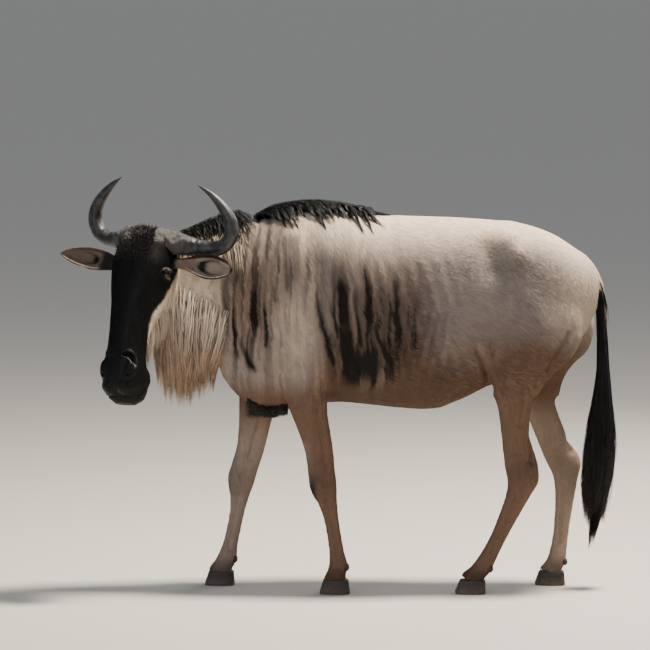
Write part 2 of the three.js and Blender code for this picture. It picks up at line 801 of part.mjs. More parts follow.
// Tail tuft: overlapping tiers of long locks that hang round the lower dock and swing a little forward.
const TAIL_CUT = 960;
const TUFT = {
  heights: [960, 820, 675, 547, 451, 355, 227, 122],
  radius: [14, 22, 31, 46, 54, 53, 28, 8],
  end: { x: 606, z: 122 },
  tiers: [
    { top: 900, tip: 560, count: 3 },
    { top: 780, tip: 390, count: 3 },
    { top: 640, tip: 230, count: 4 },
    { top: 470, tip: 124, count: 4 },
  ],
  width: [60, 74],
};

function tuftAxis(dock, height) {
  const end = DOCK.at(-1).crest[1] + 4;
  const t = dock.shareWhere((place) => dock.middleAt(place).z, Math.max(height, end));
  const share = Math.max((end - height) / (end - TUFT.end.z), 0);
  return dock.middleAt(t).lerp(at(TUFT.end.x, 0, TUFT.end.z), share).setZ(height);
}

function tuftLocks(dock) {
  const draw = seeded(3);
  const heights = TUFT.heights.toReversed();
  const radii = TUFT.radius.toReversed();
  const locks = [];
  for (const { top, tip, count } of TUFT.tiers) {
    for (let i = 0; i < count; i++) {
      const turn = ((i + draw(0.2, 0.5)) / count) * 2 * Math.PI;
      const low = Math.max(tip + draw(-30, 60), TUFT.end.z + 2);
      const swing = draw(-0.25, 0.25);
      const path = [];
      const normals = [];
      for (let k = 0; k <= LOCK.rings; k++) {
        const u = k / LOCK.rings;
        const height = lerp(top, low, u);
        const out = at(Math.cos(turn + swing * u), Math.sin(turn + swing * u), 0);
        const reach = k === 0 ? 2 : smoothAt(heights, radii, height) * lerp(0.75, 1, u);
        path.push(tuftAxis(dock, height).addScaledVector(out, reach));
        normals.push(out);
      }
      locks.push(lockSolid(path, normals, draw(...TUFT.width)));
    }
  }
  return locks;
}

// Parting planes and slabs
const CUTS = {
  head: { through: at(-744, -20, 1040), normal: at(0.72, 0.69, 0.05) },
  neck: { through: at(-480, 0, 1190), normal: at(508, 0, -90) },
  barrel: { through: at(-44, 0, 900), normal: at(1, 0, 0) },
  loins: { through: at(250, 0, 900), normal: at(1, 0, 0) },
};
const LEG_TOPS = {
  front: { height: 588, from: -560, to: -150, inside: 56 },
  hind: { height: 636, from: 268, to: 660, inside: 22 },
};
const OUTSIDE = 280;

function legTop(side, { height, from, to, inside }) {
  const middle = at((from + to) / 2, (side * (inside + OUTSIDE)) / 2, height);
  return slab(middle, at(0, 0, 1), to - from, OUTSIDE - inside);
}

const trunkLoft = new Loft(TRUNK);
const legLofts = Object.fromEntries(
  Object.entries(LEGS).map(([name, leg]) => [name, new Loft(legStations(leg))]),
);
const head = headSolid();

const neckLoft = new Loft(NECK);

let flesh = union([
  trunkLoft.solid(...TRUNK_MESH),
  neckLoft.solid(...NECK_MESH),
  moved(head, headMatrix),
  ...Object.values(legLofts).map((loft) => loft.solid(...LEG_MESH)),
  ...maneLocks(trunkLoft, neckLoft),
]).trimByPlane([0, 0, 1], SOLE_TOP + GAP);
for (const side of [-1, 1]) {
  flesh = flesh.subtract(legTop(side, LEG_TOPS.front)).subtract(legTop(side, LEG_TOPS.hind));
}
const pieces = flesh.decompose().sort((a, b) => b.volume() - a.volume());
const [skullPiece, behindHead] = partAt(pieces[0], CUTS.head.through, CUTS.head.normal);
const [bareNeck, behindNeck] = partAt(behindHead, CUTS.neck.through, CUTS.neck.normal);
const [forequarters, behindShoulders] = partAt(behindNeck, CUTS.barrel.through, CUTS.barrel.normal);
const [barrel, hindquarters] = partAt(behindShoulders, CUTS.loins.through, CUTS.loins.normal);

// What the beard has to clear: the body as it is, a gap larger, on the far side of each cut.
const grownHead = union([
  new Loft(HEAD, GAP).solid(...HEAD_MESH),
  ...[-1, 1].flatMap((side) =>
    SWELLS.map(({ at: place, size }) => ellipsoid(beside(place, side), size.map((v) => v + GAP), 10, 7)),
  ),
]);
const grownNeck = new Loft(NECK, GAP).solid(...NECK_MESH);
const grownTrunk = new Loft(TRUNK, GAP).solid(...TRUNK_MESH);
const grownBody = union([
  grownTrunk,
  grownNeck,
  new Loft(legStations(LEGS.front_left), GAP).solid(...LEG_MESH),
  new Loft(legStations(LEGS.front_right), GAP).solid(...LEG_MESH),
]);
function side(solid, { through, normal }, sign) {
  const n = normal.clone().normalize().multiplyScalar(sign);
  return solid.trimByPlane(n.toArray(), through.dot(n) - GAP / 2);
}
const beard = union(beardLocks(neckLoft))
  .subtract(moved(grownHead, headMatrix))
  .subtract(side(grownNeck, CUTS.head, -1))
  .subtract(side(grownBody, CUTS.neck, 1));
const neckPiece = largest(bareNeck.add(beard));

function holds(solid, point) {
  const { min, max } = solid.boundingBox();
  return point.toArray().every((v, k) => v > min[k] && v < max[k]);
}

const wildebeest = new THREE.Group();

function add(parent, name, solid, coat) {
  const mesh = new THREE.Mesh(geometryOf(solid), coat);
  mesh.name = name;
  parent.add(mesh);
  return mesh;
}

add(wildebeest, "neck", neckPiece, COATS.coat);
add(wildebeest, "forequarters", forequarters, COATS.coat);
add(wildebeest, "barrel", barrel, COATS.coat);
add(wildebeest, "hindquarters", hindquarters, COATS.coat);

const headGroup = new THREE.Group();
headGroup.applyMatrix4(headMatrix);
wildebeest.add(headGroup);
const headLocal = moved(skullPiece, headMatrix.clone().invert());
add(headGroup, "head", headLocal, COATS.dark);
const neckLocal = moved(grownNeck, headMatrix.clone().invert());
const hornTilt = headMatrix.clone().invert().multiply(turned(HORN_ROLL));
for (const [word, side] of [["left", -1], ["right", 1]]) {
  const horn = moved(hornSolid(side, HORN.spread[word]), hornTilt).subtract(grownHead).subtract(neckLocal);
  const ear = earSolid(side, word).subtract(grownHead).subtract(neckLocal);
  add(headGroup, `horn_${word}`, largest(horn), COATS.horn);
  add(headGroup, `ear_${word}`, largest(ear), COATS.coat);
  add(headGroup, `eye_${word}`, ellipsoid(eyeCentre(side), Array(3).fill(EYE.radius), 12, 8), COATS.eye);
}

for (const [name, leg] of Object.entries(LEGS)) {
  const limb = new THREE.Group();
  wildebeest.add(limb);
  const shank = leg.joints[2];
  const piece = pieces.slice(1).find((solid) => holds(solid, shank));
  add(limb, `leg_${name}`, piece, COATS.coat);
  const foot = new THREE.Group();
  const coronet = leg.joints[4];
  foot.position.set(coronet.x, coronet.y, 0);
  limb.add(foot);
  const outward = Math.sign(coronet.y);
  for (const [word, side] of [["outer", outward], ["inner", -outward]]) {
    add(foot, `hoof_${name}_${word}`, clawSolid(leg.toe - coronet.x, side), COATS.hoof);
    const fetlock = leg.joints[3];
    const spur = ellipsoid(at(fetlock.x + 34, fetlock.y + side * 15, fetlock.z - 6), [15, 11, 17], 7, 5);
    const bare = spur.subtract(new Loft(legStations(leg), GAP).solid(...LEG_MESH));
    add(limb, `dewclaw_${name}_${word}`, largest(bare), COATS.hoof);
  }
}

// Tail: the dock is cut clear of the rump, round it and behind it.
const rump = union([
  grownTrunk,
  moved(grownTrunk, new THREE.Matrix4().makeTranslation(2 * GAP, 0, 0)),
  new Loft(legStations(LEGS.hind_left), GAP).solid(...LEG_MESH),
  new Loft(legStations(LEGS.hind_right), GAP).solid(...LEG_MESH),
]);
const dockLoft = new Loft(DOCK);
const dock = largest(dockLoft.solid(20, 10).subtract(rump));
const [tuftCore, tailTop] = partAt(dock, at(0, 0, TAIL_CUT), at(0, 0, 1));
add(wildebeest, "tail_dock", tailTop, COATS.coat);
add(wildebeest, "tail_tuft", largest(union([tuftCore, ...tuftLocks(dockLoft)])), COATS.dark);

// The origin is under the middle of the animal, on the floor.
const root = new THREE.Group();
root.add(wildebeest);
const box = new THREE.Box3().setFromObject(root, true);
const middle = box.getCenter(new THREE.Vector3());
wildebeest.position.set(-middle.x, -middle.y, -box.min.z);

export default root;
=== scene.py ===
import math

import bmesh
import bpy
import numpy as np
from mathutils import Matrix, Vector


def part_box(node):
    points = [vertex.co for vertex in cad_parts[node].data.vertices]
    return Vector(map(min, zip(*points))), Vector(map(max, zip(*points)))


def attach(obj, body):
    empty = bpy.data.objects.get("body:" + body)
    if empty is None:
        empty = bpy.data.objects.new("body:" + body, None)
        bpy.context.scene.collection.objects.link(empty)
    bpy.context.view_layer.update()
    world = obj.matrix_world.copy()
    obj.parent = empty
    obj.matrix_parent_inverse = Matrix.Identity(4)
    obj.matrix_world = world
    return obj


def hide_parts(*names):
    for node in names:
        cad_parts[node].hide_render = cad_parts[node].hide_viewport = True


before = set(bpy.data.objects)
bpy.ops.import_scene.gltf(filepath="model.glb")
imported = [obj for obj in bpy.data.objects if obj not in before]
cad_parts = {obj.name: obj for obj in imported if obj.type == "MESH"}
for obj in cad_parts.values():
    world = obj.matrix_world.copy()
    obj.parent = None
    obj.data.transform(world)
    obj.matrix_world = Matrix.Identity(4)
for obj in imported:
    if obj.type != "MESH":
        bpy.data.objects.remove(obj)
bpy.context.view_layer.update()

# Hide
# The living hide of the whole animal: trunk, neck, legs, dock, ears and face are one skin over the flesh.
# It is lofted from the animal's cross-sections, fused by remeshing and then worked like clay.
MM = 0.001
FRONT_TOE = Vector((-258, -142.5, 0)) * MM
SHIFT = Vector(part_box("hoof_front_left_outer")[0]) - FRONT_TOE
SHIFT.z = 0
COAT_DEPTH = {"trunk": 7, "neck": 7, "leg": 3, "head": 3, "dock": 3}
BODY_VOXEL = 0.0058
HEAD_VOXEL = 0.0027
HIDE_TRIANGLES = 194_000

# Stations: crest x, z, keel x, z, middle y, half width, fullness, lean
TRUNK = [
    (632, 1010, 628, 900, 0, 44, 2.2, 0),
    (612, 1058, 600, 838, 0, 92, 2.2, 0),
    (560, 1103, 556, 770, 0, 132, 2.2, 0),
    (480, 1152, 478, 716, 0, 160, 2.3, 0),
    (384, 1183, 384, 672, 0, 172, 2.4, 0.05),
    (288, 1194, 288, 652, 0, 176, 2.3, 0),
    (192, 1201, 192, 606, 0, 190, 2.2, -0.06),
    (96, 1205, 96, 577, 0, 202, 2.15, -0.1),
    (0, 1208, 0, 580, 0, 207, 2.1, -0.1),
    (-96, 1214, -96, 590, 0, 202, 2.1, -0.08),
    (-192, 1229, -192, 598, 0, 186, 2.1, -0.05),
    (-288, 1232, -288, 590, 0, 166, 2.1, -0.04),
    (-368, 1221, -368, 572, 0, 148, 2.1, -0.04),
    (-432, 1202, -436, 566, 0, 130, 2.1, -0.04),
    (-496, 1170, -506, 606, 0, 108, 2.1, 0),
    (-556, 1110, -562, 672, 0, 82, 2.2, 0),
    (-600, 1010, -602, 770, 0, 46, 2.2, 0),
]
NECK = [
    (-396, 1203, -500, 640, 0, 122, 2.2, 0),
    (-480, 1188, -570, 712, 0, 108, 2.1, 0),
    (-550, 1174, -624, 790, 0, 93, 2.1, 0),
    (-614, 1160, -672, 836, -4, 83, 2.1, 0),
    (-672, 1149, -714, 874, -12, 77, 2.1, 0),
    (-722, 1134, -748, 902, -24, 72, 2.2, 0),
    (-762, 1114, -772, 930, -42, 62, 2.2, 0),
    (-788, 1092, -790, 962, -60, 46, 2.2, 0),
]
# Legs: bone, share along it, and the flesh before, behind and beside it. LEGS adds each leg's own joints,
# from the shoulder or hip down to the top of the sole.
FORELEG = [
    (0, 0, 60, 60, 26), (0, 0.5, 94, 88, 50), (1, 0, 102, 80, 52), (1, 0.18, 93, 60, 47),
    (1, 0.36, 76, 47, 41), (1, 0.54, 59, 47, 36), (1, 0.7, 48, 48, 33), (1, 0.86, 48, 45, 34),
    (2, 0, 48, 44, 36), (2, 0.1, 39, 40, 33), (2, 0.2, 31, 36, 28), (2, 0.38, 23, 32, 22),
    (2, 0.6, 22, 30, 20), (2, 0.85, 26, 30, 23), (3, 0, 34, 34, 28), (3, 0.5, 36, 31, 26),
    (3, 1, 42, 38, 32), (3, 1.25, 44, 40, 33),
]
HINDLEG = [
    (0, 0, 70, 60, 30), (0, 0.35, 138, 150, 68), (0, 0.7, 138, 160, 68), (1, 0, 112, 108, 58),
    (1, 0.2, 98, 64, 47), (1, 0.36, 82, 42, 40), (1, 0.55, 73, 38, 35), (1, 0.75, 66, 46, 32),
    (1, 0.92, 59, 54, 33), (2, 0, 56, 56, 34), (2, 0.12, 39, 50, 30), (2, 0.25, 29, 46, 26),
    (2, 0.5, 23, 39, 21), (2, 0.7, 22, 35, 21), (2, 0.88, 27, 33, 24), (3, 0, 34, 33, 28),
    (3, 0.5, 35, 30, 26), (3, 1, 41, 37, 32), (3, 1.25, 43, 39, 33),
]
LEGS = {
    "front_left": (
        FORELEG,
        [(-330, -106, 945), (-294, -118, 722), (-243, -106, 343), (-197, -102, 87), (-205, -102, 44)],
    ),
    "front_right": (
        FORELEG,
        [(-396, 76, 925), (-412, 108, 690), (-510, 106, 336), (-557, 102, 86), (-575, 102, 44)],
    ),
    "hind_left": (
        HINDLEG,
        [(464, -86, 1040), (387, -108, 724), (390, -104, 371), (262, -100, 82), (232, -100, 44)],
    ),
    "hind_right": (
        HINDLEG,
        [(486, 86, 1024), (448, 106, 698), (534, 104, 390), (509, 100, 78), (493, 100, 44)],
    ),
}
DOCK = [
    (508, 1100, 490, 1050, 0, 28, 2.2, 0), (552, 1092, 524, 1040, 0, 28, 2.2, 0),
    (584, 1090, 556, 1040, 0, 26, 2.2, 0), (626, 1044, 596, 1012, 0, 21, 2.2, 0),
    (652, 984, 622, 968, 0, 17, 2.2, 0), (662, 900, 634, 896, 0, 14, 2.2, 0),
    (664, 800, 638, 800, 0, 13, 2.2, 0), (664, 640, 636, 640, 0, 14, 2.2, 0),
    (656, 500, 632, 500, 0, 12, 2.2, 0), (644, 410, 632, 410, 0, 5, 2.2, 0),
]
# Head, upright and facing -X: distance down the face, front, back, half width, fullness, lean
HEAD_RINGS = [
    (-14, 60, 102, 30, 2.5, 0), (-6, 34, 136, 58, 2.5, 0), (16, 6, 162, 82, 2.5, 0),
    (52, -5, 184, 93, 2.5, 0), (96, -10, 198, 96, 2.8, 0.04), (138, -14, 203, 92, 2.8, 0.05),
    (180, -17, 196, 85, 2.7, 0.06), (226, -20, 172, 75, 2.5, 0.06), (280, -22, 134, 65, 2.5, 0.06),
    (334, -22, 108, 59, 2.5, 0.06), (384, -22, 103, 59, 2.6, 0.06), (430, -23, 112, 65, 2.7, 0.04),
    (474, -19, 120, 69, 2.8, 0), (504, -6, 120, 66, 2.8, 0), (526, 14, 110, 56, 2.7, 0),
    (544, 42, 92, 36, 2.5, 0),
]
HEAD = [
    (front, -down, back, -down, 0, half, full, lean)
    for down, front, back, half, full, lean in HEAD_RINGS
]
HEAD_AT = np.array((-843.0, -165.0, 1163.0))
HEAD_YAW, HEAD_ROLL, HEAD_PITCH = math.radians(60), math.radians(-2), math.radians(16)
HORN_ROLL = math.radians(3)
EYE_DOWN, EYE_SIDE, EYE_BACK, EYE_RADIUS = 122, 81, 74, 19.5


def turned(roll):
    """The rotation of the head, or with its own roll that of the horns."""
    turn = Matrix.Rotation(HEAD_YAW, 3, "Z") @ Matrix.Rotation(roll, 3, "X")
    return np.array(turn @ Matrix.Rotation(HEAD_PITCH, 3, "Y"))


HEAD_TURN = turned(HEAD_ROLL)


def to_frame(points):
    return np.asarray(points, float) * MM + np.array(SHIFT)


def head_to_frame(points, turn=HEAD_TURN):
    return to_frame(np.asarray(points, float) @ turn.T + HEAD_AT)


def in_mm(points):
    """Places in the frame, in the body's own millimetres."""
    return (points - np.array(SHIFT)) / MM


def to_head(points, turn=HEAD_TURN):
    """Places in the frame, in the head's own millimetres."""
    return (in_mm(points) - HEAD_AT) @ turn


def smooth_at(places, rows, t):
    """Values between keys at uneven places: cubic Hermite with mean slopes."""
    places, rows, t = np.asarray(places, float), np.asarray(rows, float), np.asarray(t, float)
    last = len(places) - 1
    before, after = np.maximum(np.arange(last + 1) - 1, 0), np.minimum(np.arange(last + 1) + 1, last)
    slopes = (rows[after] - rows[before]) / (places[after] - places[before])[:, None]
    i = np.clip(np.searchsorted(places[1:], t, side="left"), 0, last - 1)
    span = places[i + 1] - places[i]
    s = np.clip((t - places[i]) / span, 0, 1)[:, None]
    span = span[:, None]
    start = (2 * s**3 - 3 * s**2 + 1) * rows[i] + (s**3 - 2 * s**2 + s) * span * slopes[i]
    return start + (3 * s**2 - 2 * s**3) * rows[i + 1] + (s**3 - s**2) * span * slopes[i + 1]


def loft_places(stations):
    """A loft's stations as rows, and how far along its middle line each one lies."""
    rows = np.array(stations, float)
    middle = np.stack([(rows[:, 0] + rows[:, 2]) / 2, rows[:, 4], (rows[:, 1] + rows[:, 3]) / 2], 1)
    return rows, np.concatenate([[0], np.cumsum(np.linalg.norm(np.diff(middle, axis=0), axis=1))])


def loft_at(stations, t, angle, grow=0.0):
    """Points of a loft, in millimetres, at shares t of its length and angles from the crest towards -Y."""
    rows, places = loft_places(stations)
    v = smooth_at(places, rows, t * places[-1])
    cx, cz, kx, kz, y, half, fullness, lean = v.T
    tall = np.hypot(cx - kx, cz - kz) / 2
    c = np.sign(np.cos(angle)) * np.abs(np.cos(angle)) ** (2 / fullness)
    s = np.sign(np.sin(angle)) * np.abs(np.sin(angle)) ** (2 / fullness)
    up = c * (tall + grow) / tall / 2
    across = y - s * (half * (1 + lean * c) + grow)
    return np.stack([(cx + kx) / 2 + up * (cx - kx), across, (cz + kz) / 2 + up * (cz - kz)], 1)


def loft_grid(stations, rings, sides, grow=0.0):
    """A loft's points as rings, all moved out by a growth in millimetres."""
    t = np.repeat(np.linspace(0, 1, rings + 1), sides)
    angle = np.tile(np.arange(sides) / sides * 2 * np.pi, rings + 1)
    return loft_at(stations, t, angle, grow).reshape(rings + 1, sides, 3)


def leg_stations(flesh, joints):
    """Stations of a leg's loft, square to its bones, and halfway between two bones at a joint."""
    joints = np.array(joints, float)
    bones = np.diff(joints, axis=0)
    rows = []
    for bone, share, fore, aft, side in flesh:
        middle = joints[bone] + bones[bone] * share
        before = bones[bone - 1] if share == 0 and bone > 0 else bones[bone]
        down = bones[bone] / np.linalg.norm(bones[bone]) + before / np.linalg.norm(before)
        down = np.array((down[0], down[2])) / np.hypot(down[0], down[2])
        crest = middle[[0, 2]] + np.array((down[1], -down[0])) * fore
        keel = middle[[0, 2]] - np.array((down[1], -down[0])) * aft
        rows.append((*crest, *keel, middle[1], side, 2.2, 0))
    return rows


def ring_mesh(name, grid):
    """A closed mesh over a grid of rings already in metres, with an n-gon at each end."""
    rings, sides = grid.shape[:2]
    index = np.arange(rings * sides).reshape(rings, sides)
    step = np.roll(index, -1, axis=1)
    faces = np.stack([index[:-1], index[1:], step[1:], step[:-1]], -1).reshape(-1, 4).tolist()
    faces += [index[0].tolist(), index[-1][::-1].tolist()]
    mesh = bpy.data.meshes.new(name)
    mesh.from_pydata(grid.reshape(-1, 3), [], faces)
    body = bpy.data.objects.new(name, mesh)
    bpy.context.collection.objects.link(body)
    return body


def deselect():
    bpy.ops.object.select_all(action="DESELECT")


def pick(piece):
    """Makes a piece the only one that is selected, and the active one."""
    deselect()
    piece.select_set(True)
    bpy.context.view_layer.objects.active = piece


def join(objects, name):
    deselect()
    for piece in objects:
        piece.select_set(True)
    bpy.context.view_layer.objects.active = objects[0]
    bpy.ops.object.join()
    objects[0].name = name
    return objects[0]


def finish_modifier(piece, kind, **settings):
    """Adds a modifier with its settings and applies it."""
    modifier = piece.modifiers.new(kind.title(), kind)
    for key, value in settings.items():
        setattr(modifier, key, value)
    pick(piece)
    bpy.ops.object.modifier_apply(modifier=modifier.name)


def ball(centre, size, lean=0.0):
    """An ellipsoid of muscle or bone in the head's own millimetres, turned about its cross axis."""
    deselect()
    bpy.ops.mesh.primitive_uv_sphere_add(segments=32, ring_count=20, radius=1, location=(0, 0, 0))
    piece = bpy.context.object
    co = np.empty(len(piece.data.vertices) * 3)
    piece.data.vertices.foreach_get("co", co)
    turn = np.array(Matrix.Rotation(lean, 3, "Y"))
    shaped = head_to_frame((co.reshape(-1, 3) * np.array(size)) @ turn.T + np.array(centre))
    piece.data.vertices.foreach_set("co", shaped.ravel())
    return piece


def ear_rows(root, along, up, back, half):
    """Rings of an ear in the head's millimetres: a stalk that opens into a cup and closes to a point."""
    shares = np.linspace(0, 1, 60)
    profile = smooth_at(EAR_SHARES, np.stack([half, EAR_DEPTH, EAR_CUP], 1), shares)
    outer = np.linspace(-np.pi / 2, np.pi / 2, 14)
    rows = []
    for share, (w, d, c) in zip(shares, profile):
        w, d, c = max(w, 1.5), max(d, 2.5), min(max(c, 0), 1)
        centre = root + along * share * EAR_LENGTH + up * (-EAR_DROOP * share * share)
        thick = min(EAR_WALL, w * 0.4)
        hollow = (d - thick) * c - 4 * (1 - c)
        ring = [centre + up * w * math.sin(a) + back * d * math.cos(a) for a in outer]
        ring += [centre + up * (w - thick) * math.sin(a) + back * hollow * math.cos(a) for a in outer[::-1]]
        rows.append(ring)
    return np.array(rows)


# Ears: widths are given ear by ear, with the side, the root on the head, the rise and the turn backwards.
EAR_LENGTH, EAR_WALL, EAR_DROOP = 236, 5.5, 10
EAR_SHARES = (0, 0.12, 0.25, 0.38, 0.52, 0.66, 0.79, 0.9, 0.97, 1)
EAR_DEPTH = (18, 19, 22, 26, 29, 28, 24, 18, 11, 3)
EAR_CUP = (0, 0, 0.15, 0.6, 0.9, 1, 1, 1, 0.8, 0)
EARS = {
    "left": {
        "side": -1, "root": (100, -66, -78), "rise": -0.04, "turn": 6,
        "half": (17, 17, 18, 26, 37, 41, 36, 26, 13, 2),
    },
    "right": {
        "side": 1, "root": (100, 66, -92), "rise": 0.17, "turn": -16,
        "half": (17, 20, 24, 31, 35, 33, 27, 18, 9, 2),
    },
}


def ear_axes(ear):
    """The directions along an ear, up across it, and out of its back, on the head's own axes."""
    yaw = math.radians(ear["turn"])
    along = np.array((math.sin(yaw), ear["side"] * math.cos(yaw), ear["rise"]))
    along /= np.linalg.norm(along)
    up = np.array((0, 0, 1.0)) - along * along[2]
    up /= np.linalg.norm(up)
    return along, up, np.cross(along, up) * ear["side"]


def hide_part(parts, name, voxel):
    """Fuses closed shapes into one skin, by remeshing them at a voxel size in metres."""
    body = join(parts, name)
    finish_modifier(body, "REMESH", mode="VOXEL", voxel_size=voxel)
    return body


def co_of(mesh):
    co = np.empty(len(mesh.vertices) * 3)
    mesh.vertices.foreach_get("co", co)
    return co.reshape(-1, 3)


def normals_of(mesh):
    normals = np.empty(len(mesh.vertices) * 3)
    mesh.vertex_normals.foreach_get("vector", normals)
    return normals.reshape(-1, 3)


def relax(mesh, weight, rounds):
    """Draws each vertex towards the mean of its neighbours, as fingers smooth clay."""
    co = co_of(mesh)
    edges = np.empty(len(mesh.edges) * 2, int)
    mesh.edges.foreach_get("vertices", edges)
    a, b = edges.reshape(-1, 2).T
    count = len(co)
    degree = np.maximum(np.bincount(a, minlength=count) + np.bincount(b, minlength=count), 1)
    for _ in range(rounds):
        mean = np.stack(
            [np.bincount(a, co[b, k], count) + np.bincount(b, co[a, k], count) for k in range(3)], 1
        ) / degree[:, None]
        co += np.asarray(weight).reshape(-1, 1) * (mean - co)
    mesh.vertices.foreach_set("co", co.ravel())
    mesh.update()


def smoothstep(low, high, x):
    """0 below the low end and 1 past the high end, with a soft step between them."""
    s = np.clip((x - low) / (high - low), 0, 1)
    return s * s * (3 - 2 * s)


def ridge(away, width):
    """1 on a line and nearly 0 at twice its width from it."""
    return np.exp(-((away / width) ** 2))


def spot(p, x, z, wide, tall, power=2):
    """1 at a place on the flank and nearly 0 at twice its half width or half height from it."""
    return np.exp(-((p[:, 0] - x) / wide) ** power - ((p[:, 2] - z) / tall) ** power)


# The fine part is everything before a plane across the upper neck; the coarser part is the rest.
SPLIT_AT = np.array((-701.0, 21.0, 1043.0))
SPLIT_NORMAL = np.array((0.72, 0.69, 0.05)) / np.linalg.norm((0.72, 0.69, 0.05))
SPLIT_GAP = 4.0


def past_seam(p):
    """How far places in millimetres lie behind the plane of the seam; the head's side is negative."""
    return (p - SPLIT_AT) @ SPLIT_NORMAL


def keep_side(piece, sign):
    """Cuts a part at its own side of the seam, so that a narrow gap is left to bridge."""
    bm = bmesh.new()
    bm.from_mesh(piece.data)
    middle = to_frame(SPLIT_AT + SPLIT_NORMAL * sign * SPLIT_GAP)
    bmesh.ops.bisect_plane(
        bm,
        geom=bm.verts[:] + bm.edges[:] + bm.faces[:],
        plane_co=middle,
        plane_no=SPLIT_NORMAL * sign,
        clear_inner=True,
    )
    bm.to_mesh(piece.data)
    bm.free()


neck_depth = -COAT_DEPTH["neck"]
body_parts = [
    ring_mesh("trunk", to_frame(loft_grid(TRUNK, 150, 96, -COAT_DEPTH["trunk"]))),
    ring_mesh("throat", to_frame(loft_grid(NECK, 60, 80, neck_depth))),
    ring_mesh("dock", to_frame(loft_grid(DOCK, 90, 24, -COAT_DEPTH["dock"]))),
]
for leg, (flesh, joints) in LEGS.items():
    limb = loft_grid(leg_stations(flesh, joints), 140, 48, -COAT_DEPTH["leg"])
    body_parts.append(ring_mesh(leg, to_frame(limb)))
coarse = hide_part(body_parts, "coarse", BODY_VOXEL)

head_parts = [
    ring_mesh("skull", head_to_frame(loft_grid(HEAD, 140, 96, -COAT_DEPTH["head"]))),
    ring_mesh("nape", to_frame(loft_grid(NECK, 80, 96, neck_depth))),
]
# Bone and muscle under the face, on both sides: orbit, brow, cheek, jaw, lip, nostril wing and chin
SWELLS = [
    ((EYE_BACK + 2, EYE_SIDE - 14, -EYE_DOWN + 2), (38, 31, 40), 0.0),
    ((52, 62, -88), (34, 26, 26), -0.3),
    ((136, 50, -158), (60, 34, 84), 0.15),
    ((60, 56, -196), (52, 22, 34), 0.5),
    ((10, 42, -438), (30, 25, 46), 0.15),
    ((70, 46, -462), (46, 24, 44), 0.0),
    ((84, 20, -508), (42, 34, 32), 0.0),
    ((26, 26, -494), (42, 38, 34), 0.0),
]
for side in (-1, 1):
    for (x, y, z), size, lean in SWELLS:
        size = [v - COAT_DEPTH["head"] for v in size]
        head_parts.append(ball((x, side * y, z), size, lean))
    lid = EYE_RADIUS + 5.5
    head_parts.append(ball((EYE_BACK, side * EYE_SIDE, -EYE_DOWN), (lid, lid, lid)))
for ear in EARS.values():
    along, up, back = ear_axes(ear)
    rows = ear_rows(np.array(ear["root"], float), along, up, back, ear["half"])
    head_parts.append(ring_mesh("ear", head_to_frame(rows.reshape(-1, 3)).reshape(rows.shape)))
fine = hide_part(head_parts, "fine", HEAD_VOXEL)

# The parts' edges are bridged, so that head and body are one hide.
keep_side(fine, -1)
keep_side(coarse, 1)
hide = join([coarse, fine], "hide")
bm = bmesh.new()
bm.from_mesh(hide.data)
rim = [edge for edge in bm.edges if edge.is_boundary]
bmesh.ops.bridge_loops(bm, edges=rim)
bmesh.ops.recalc_face_normals(bm, faces=bm.faces[:])
bm.to_mesh(hide.data)
bm.free()

mm = in_mm(co_of(hide.data))
local = to_head(co_of(hide.data))
on_head = smoothstep(30, -10, past_seam(mm))
# Where shoulders, haunches, neck and dock flow into the trunk: the middle and the reach of each place
FLOWS = [
    ((-330, -130, 860), (150, 90, 260)), ((-400, 120, 850), (150, 90, 260)),
    ((430, -130, 900), (220, 90, 260)), ((450, 130, 900), (220, 90, 260)),
    ((-540, 0, 900), (90, 140, 330)), ((560, 0, 1060), (70, 60, 60)),
]
flow = np.maximum.reduce([
    np.exp(-(((mm - np.array(middle)) / np.array(reach)) ** 2).sum(1)) for middle, reach in FLOWS
])
relax(hide.data, 0.5 * (1 - on_head), 8)
relax(hide.data, 0.5 * flow * (1 - on_head), 40)
relax(hide.data, 0.5 * ridge(past_seam(mm), 16), 30)
relax(hide.data, 0.5 * on_head, 3)

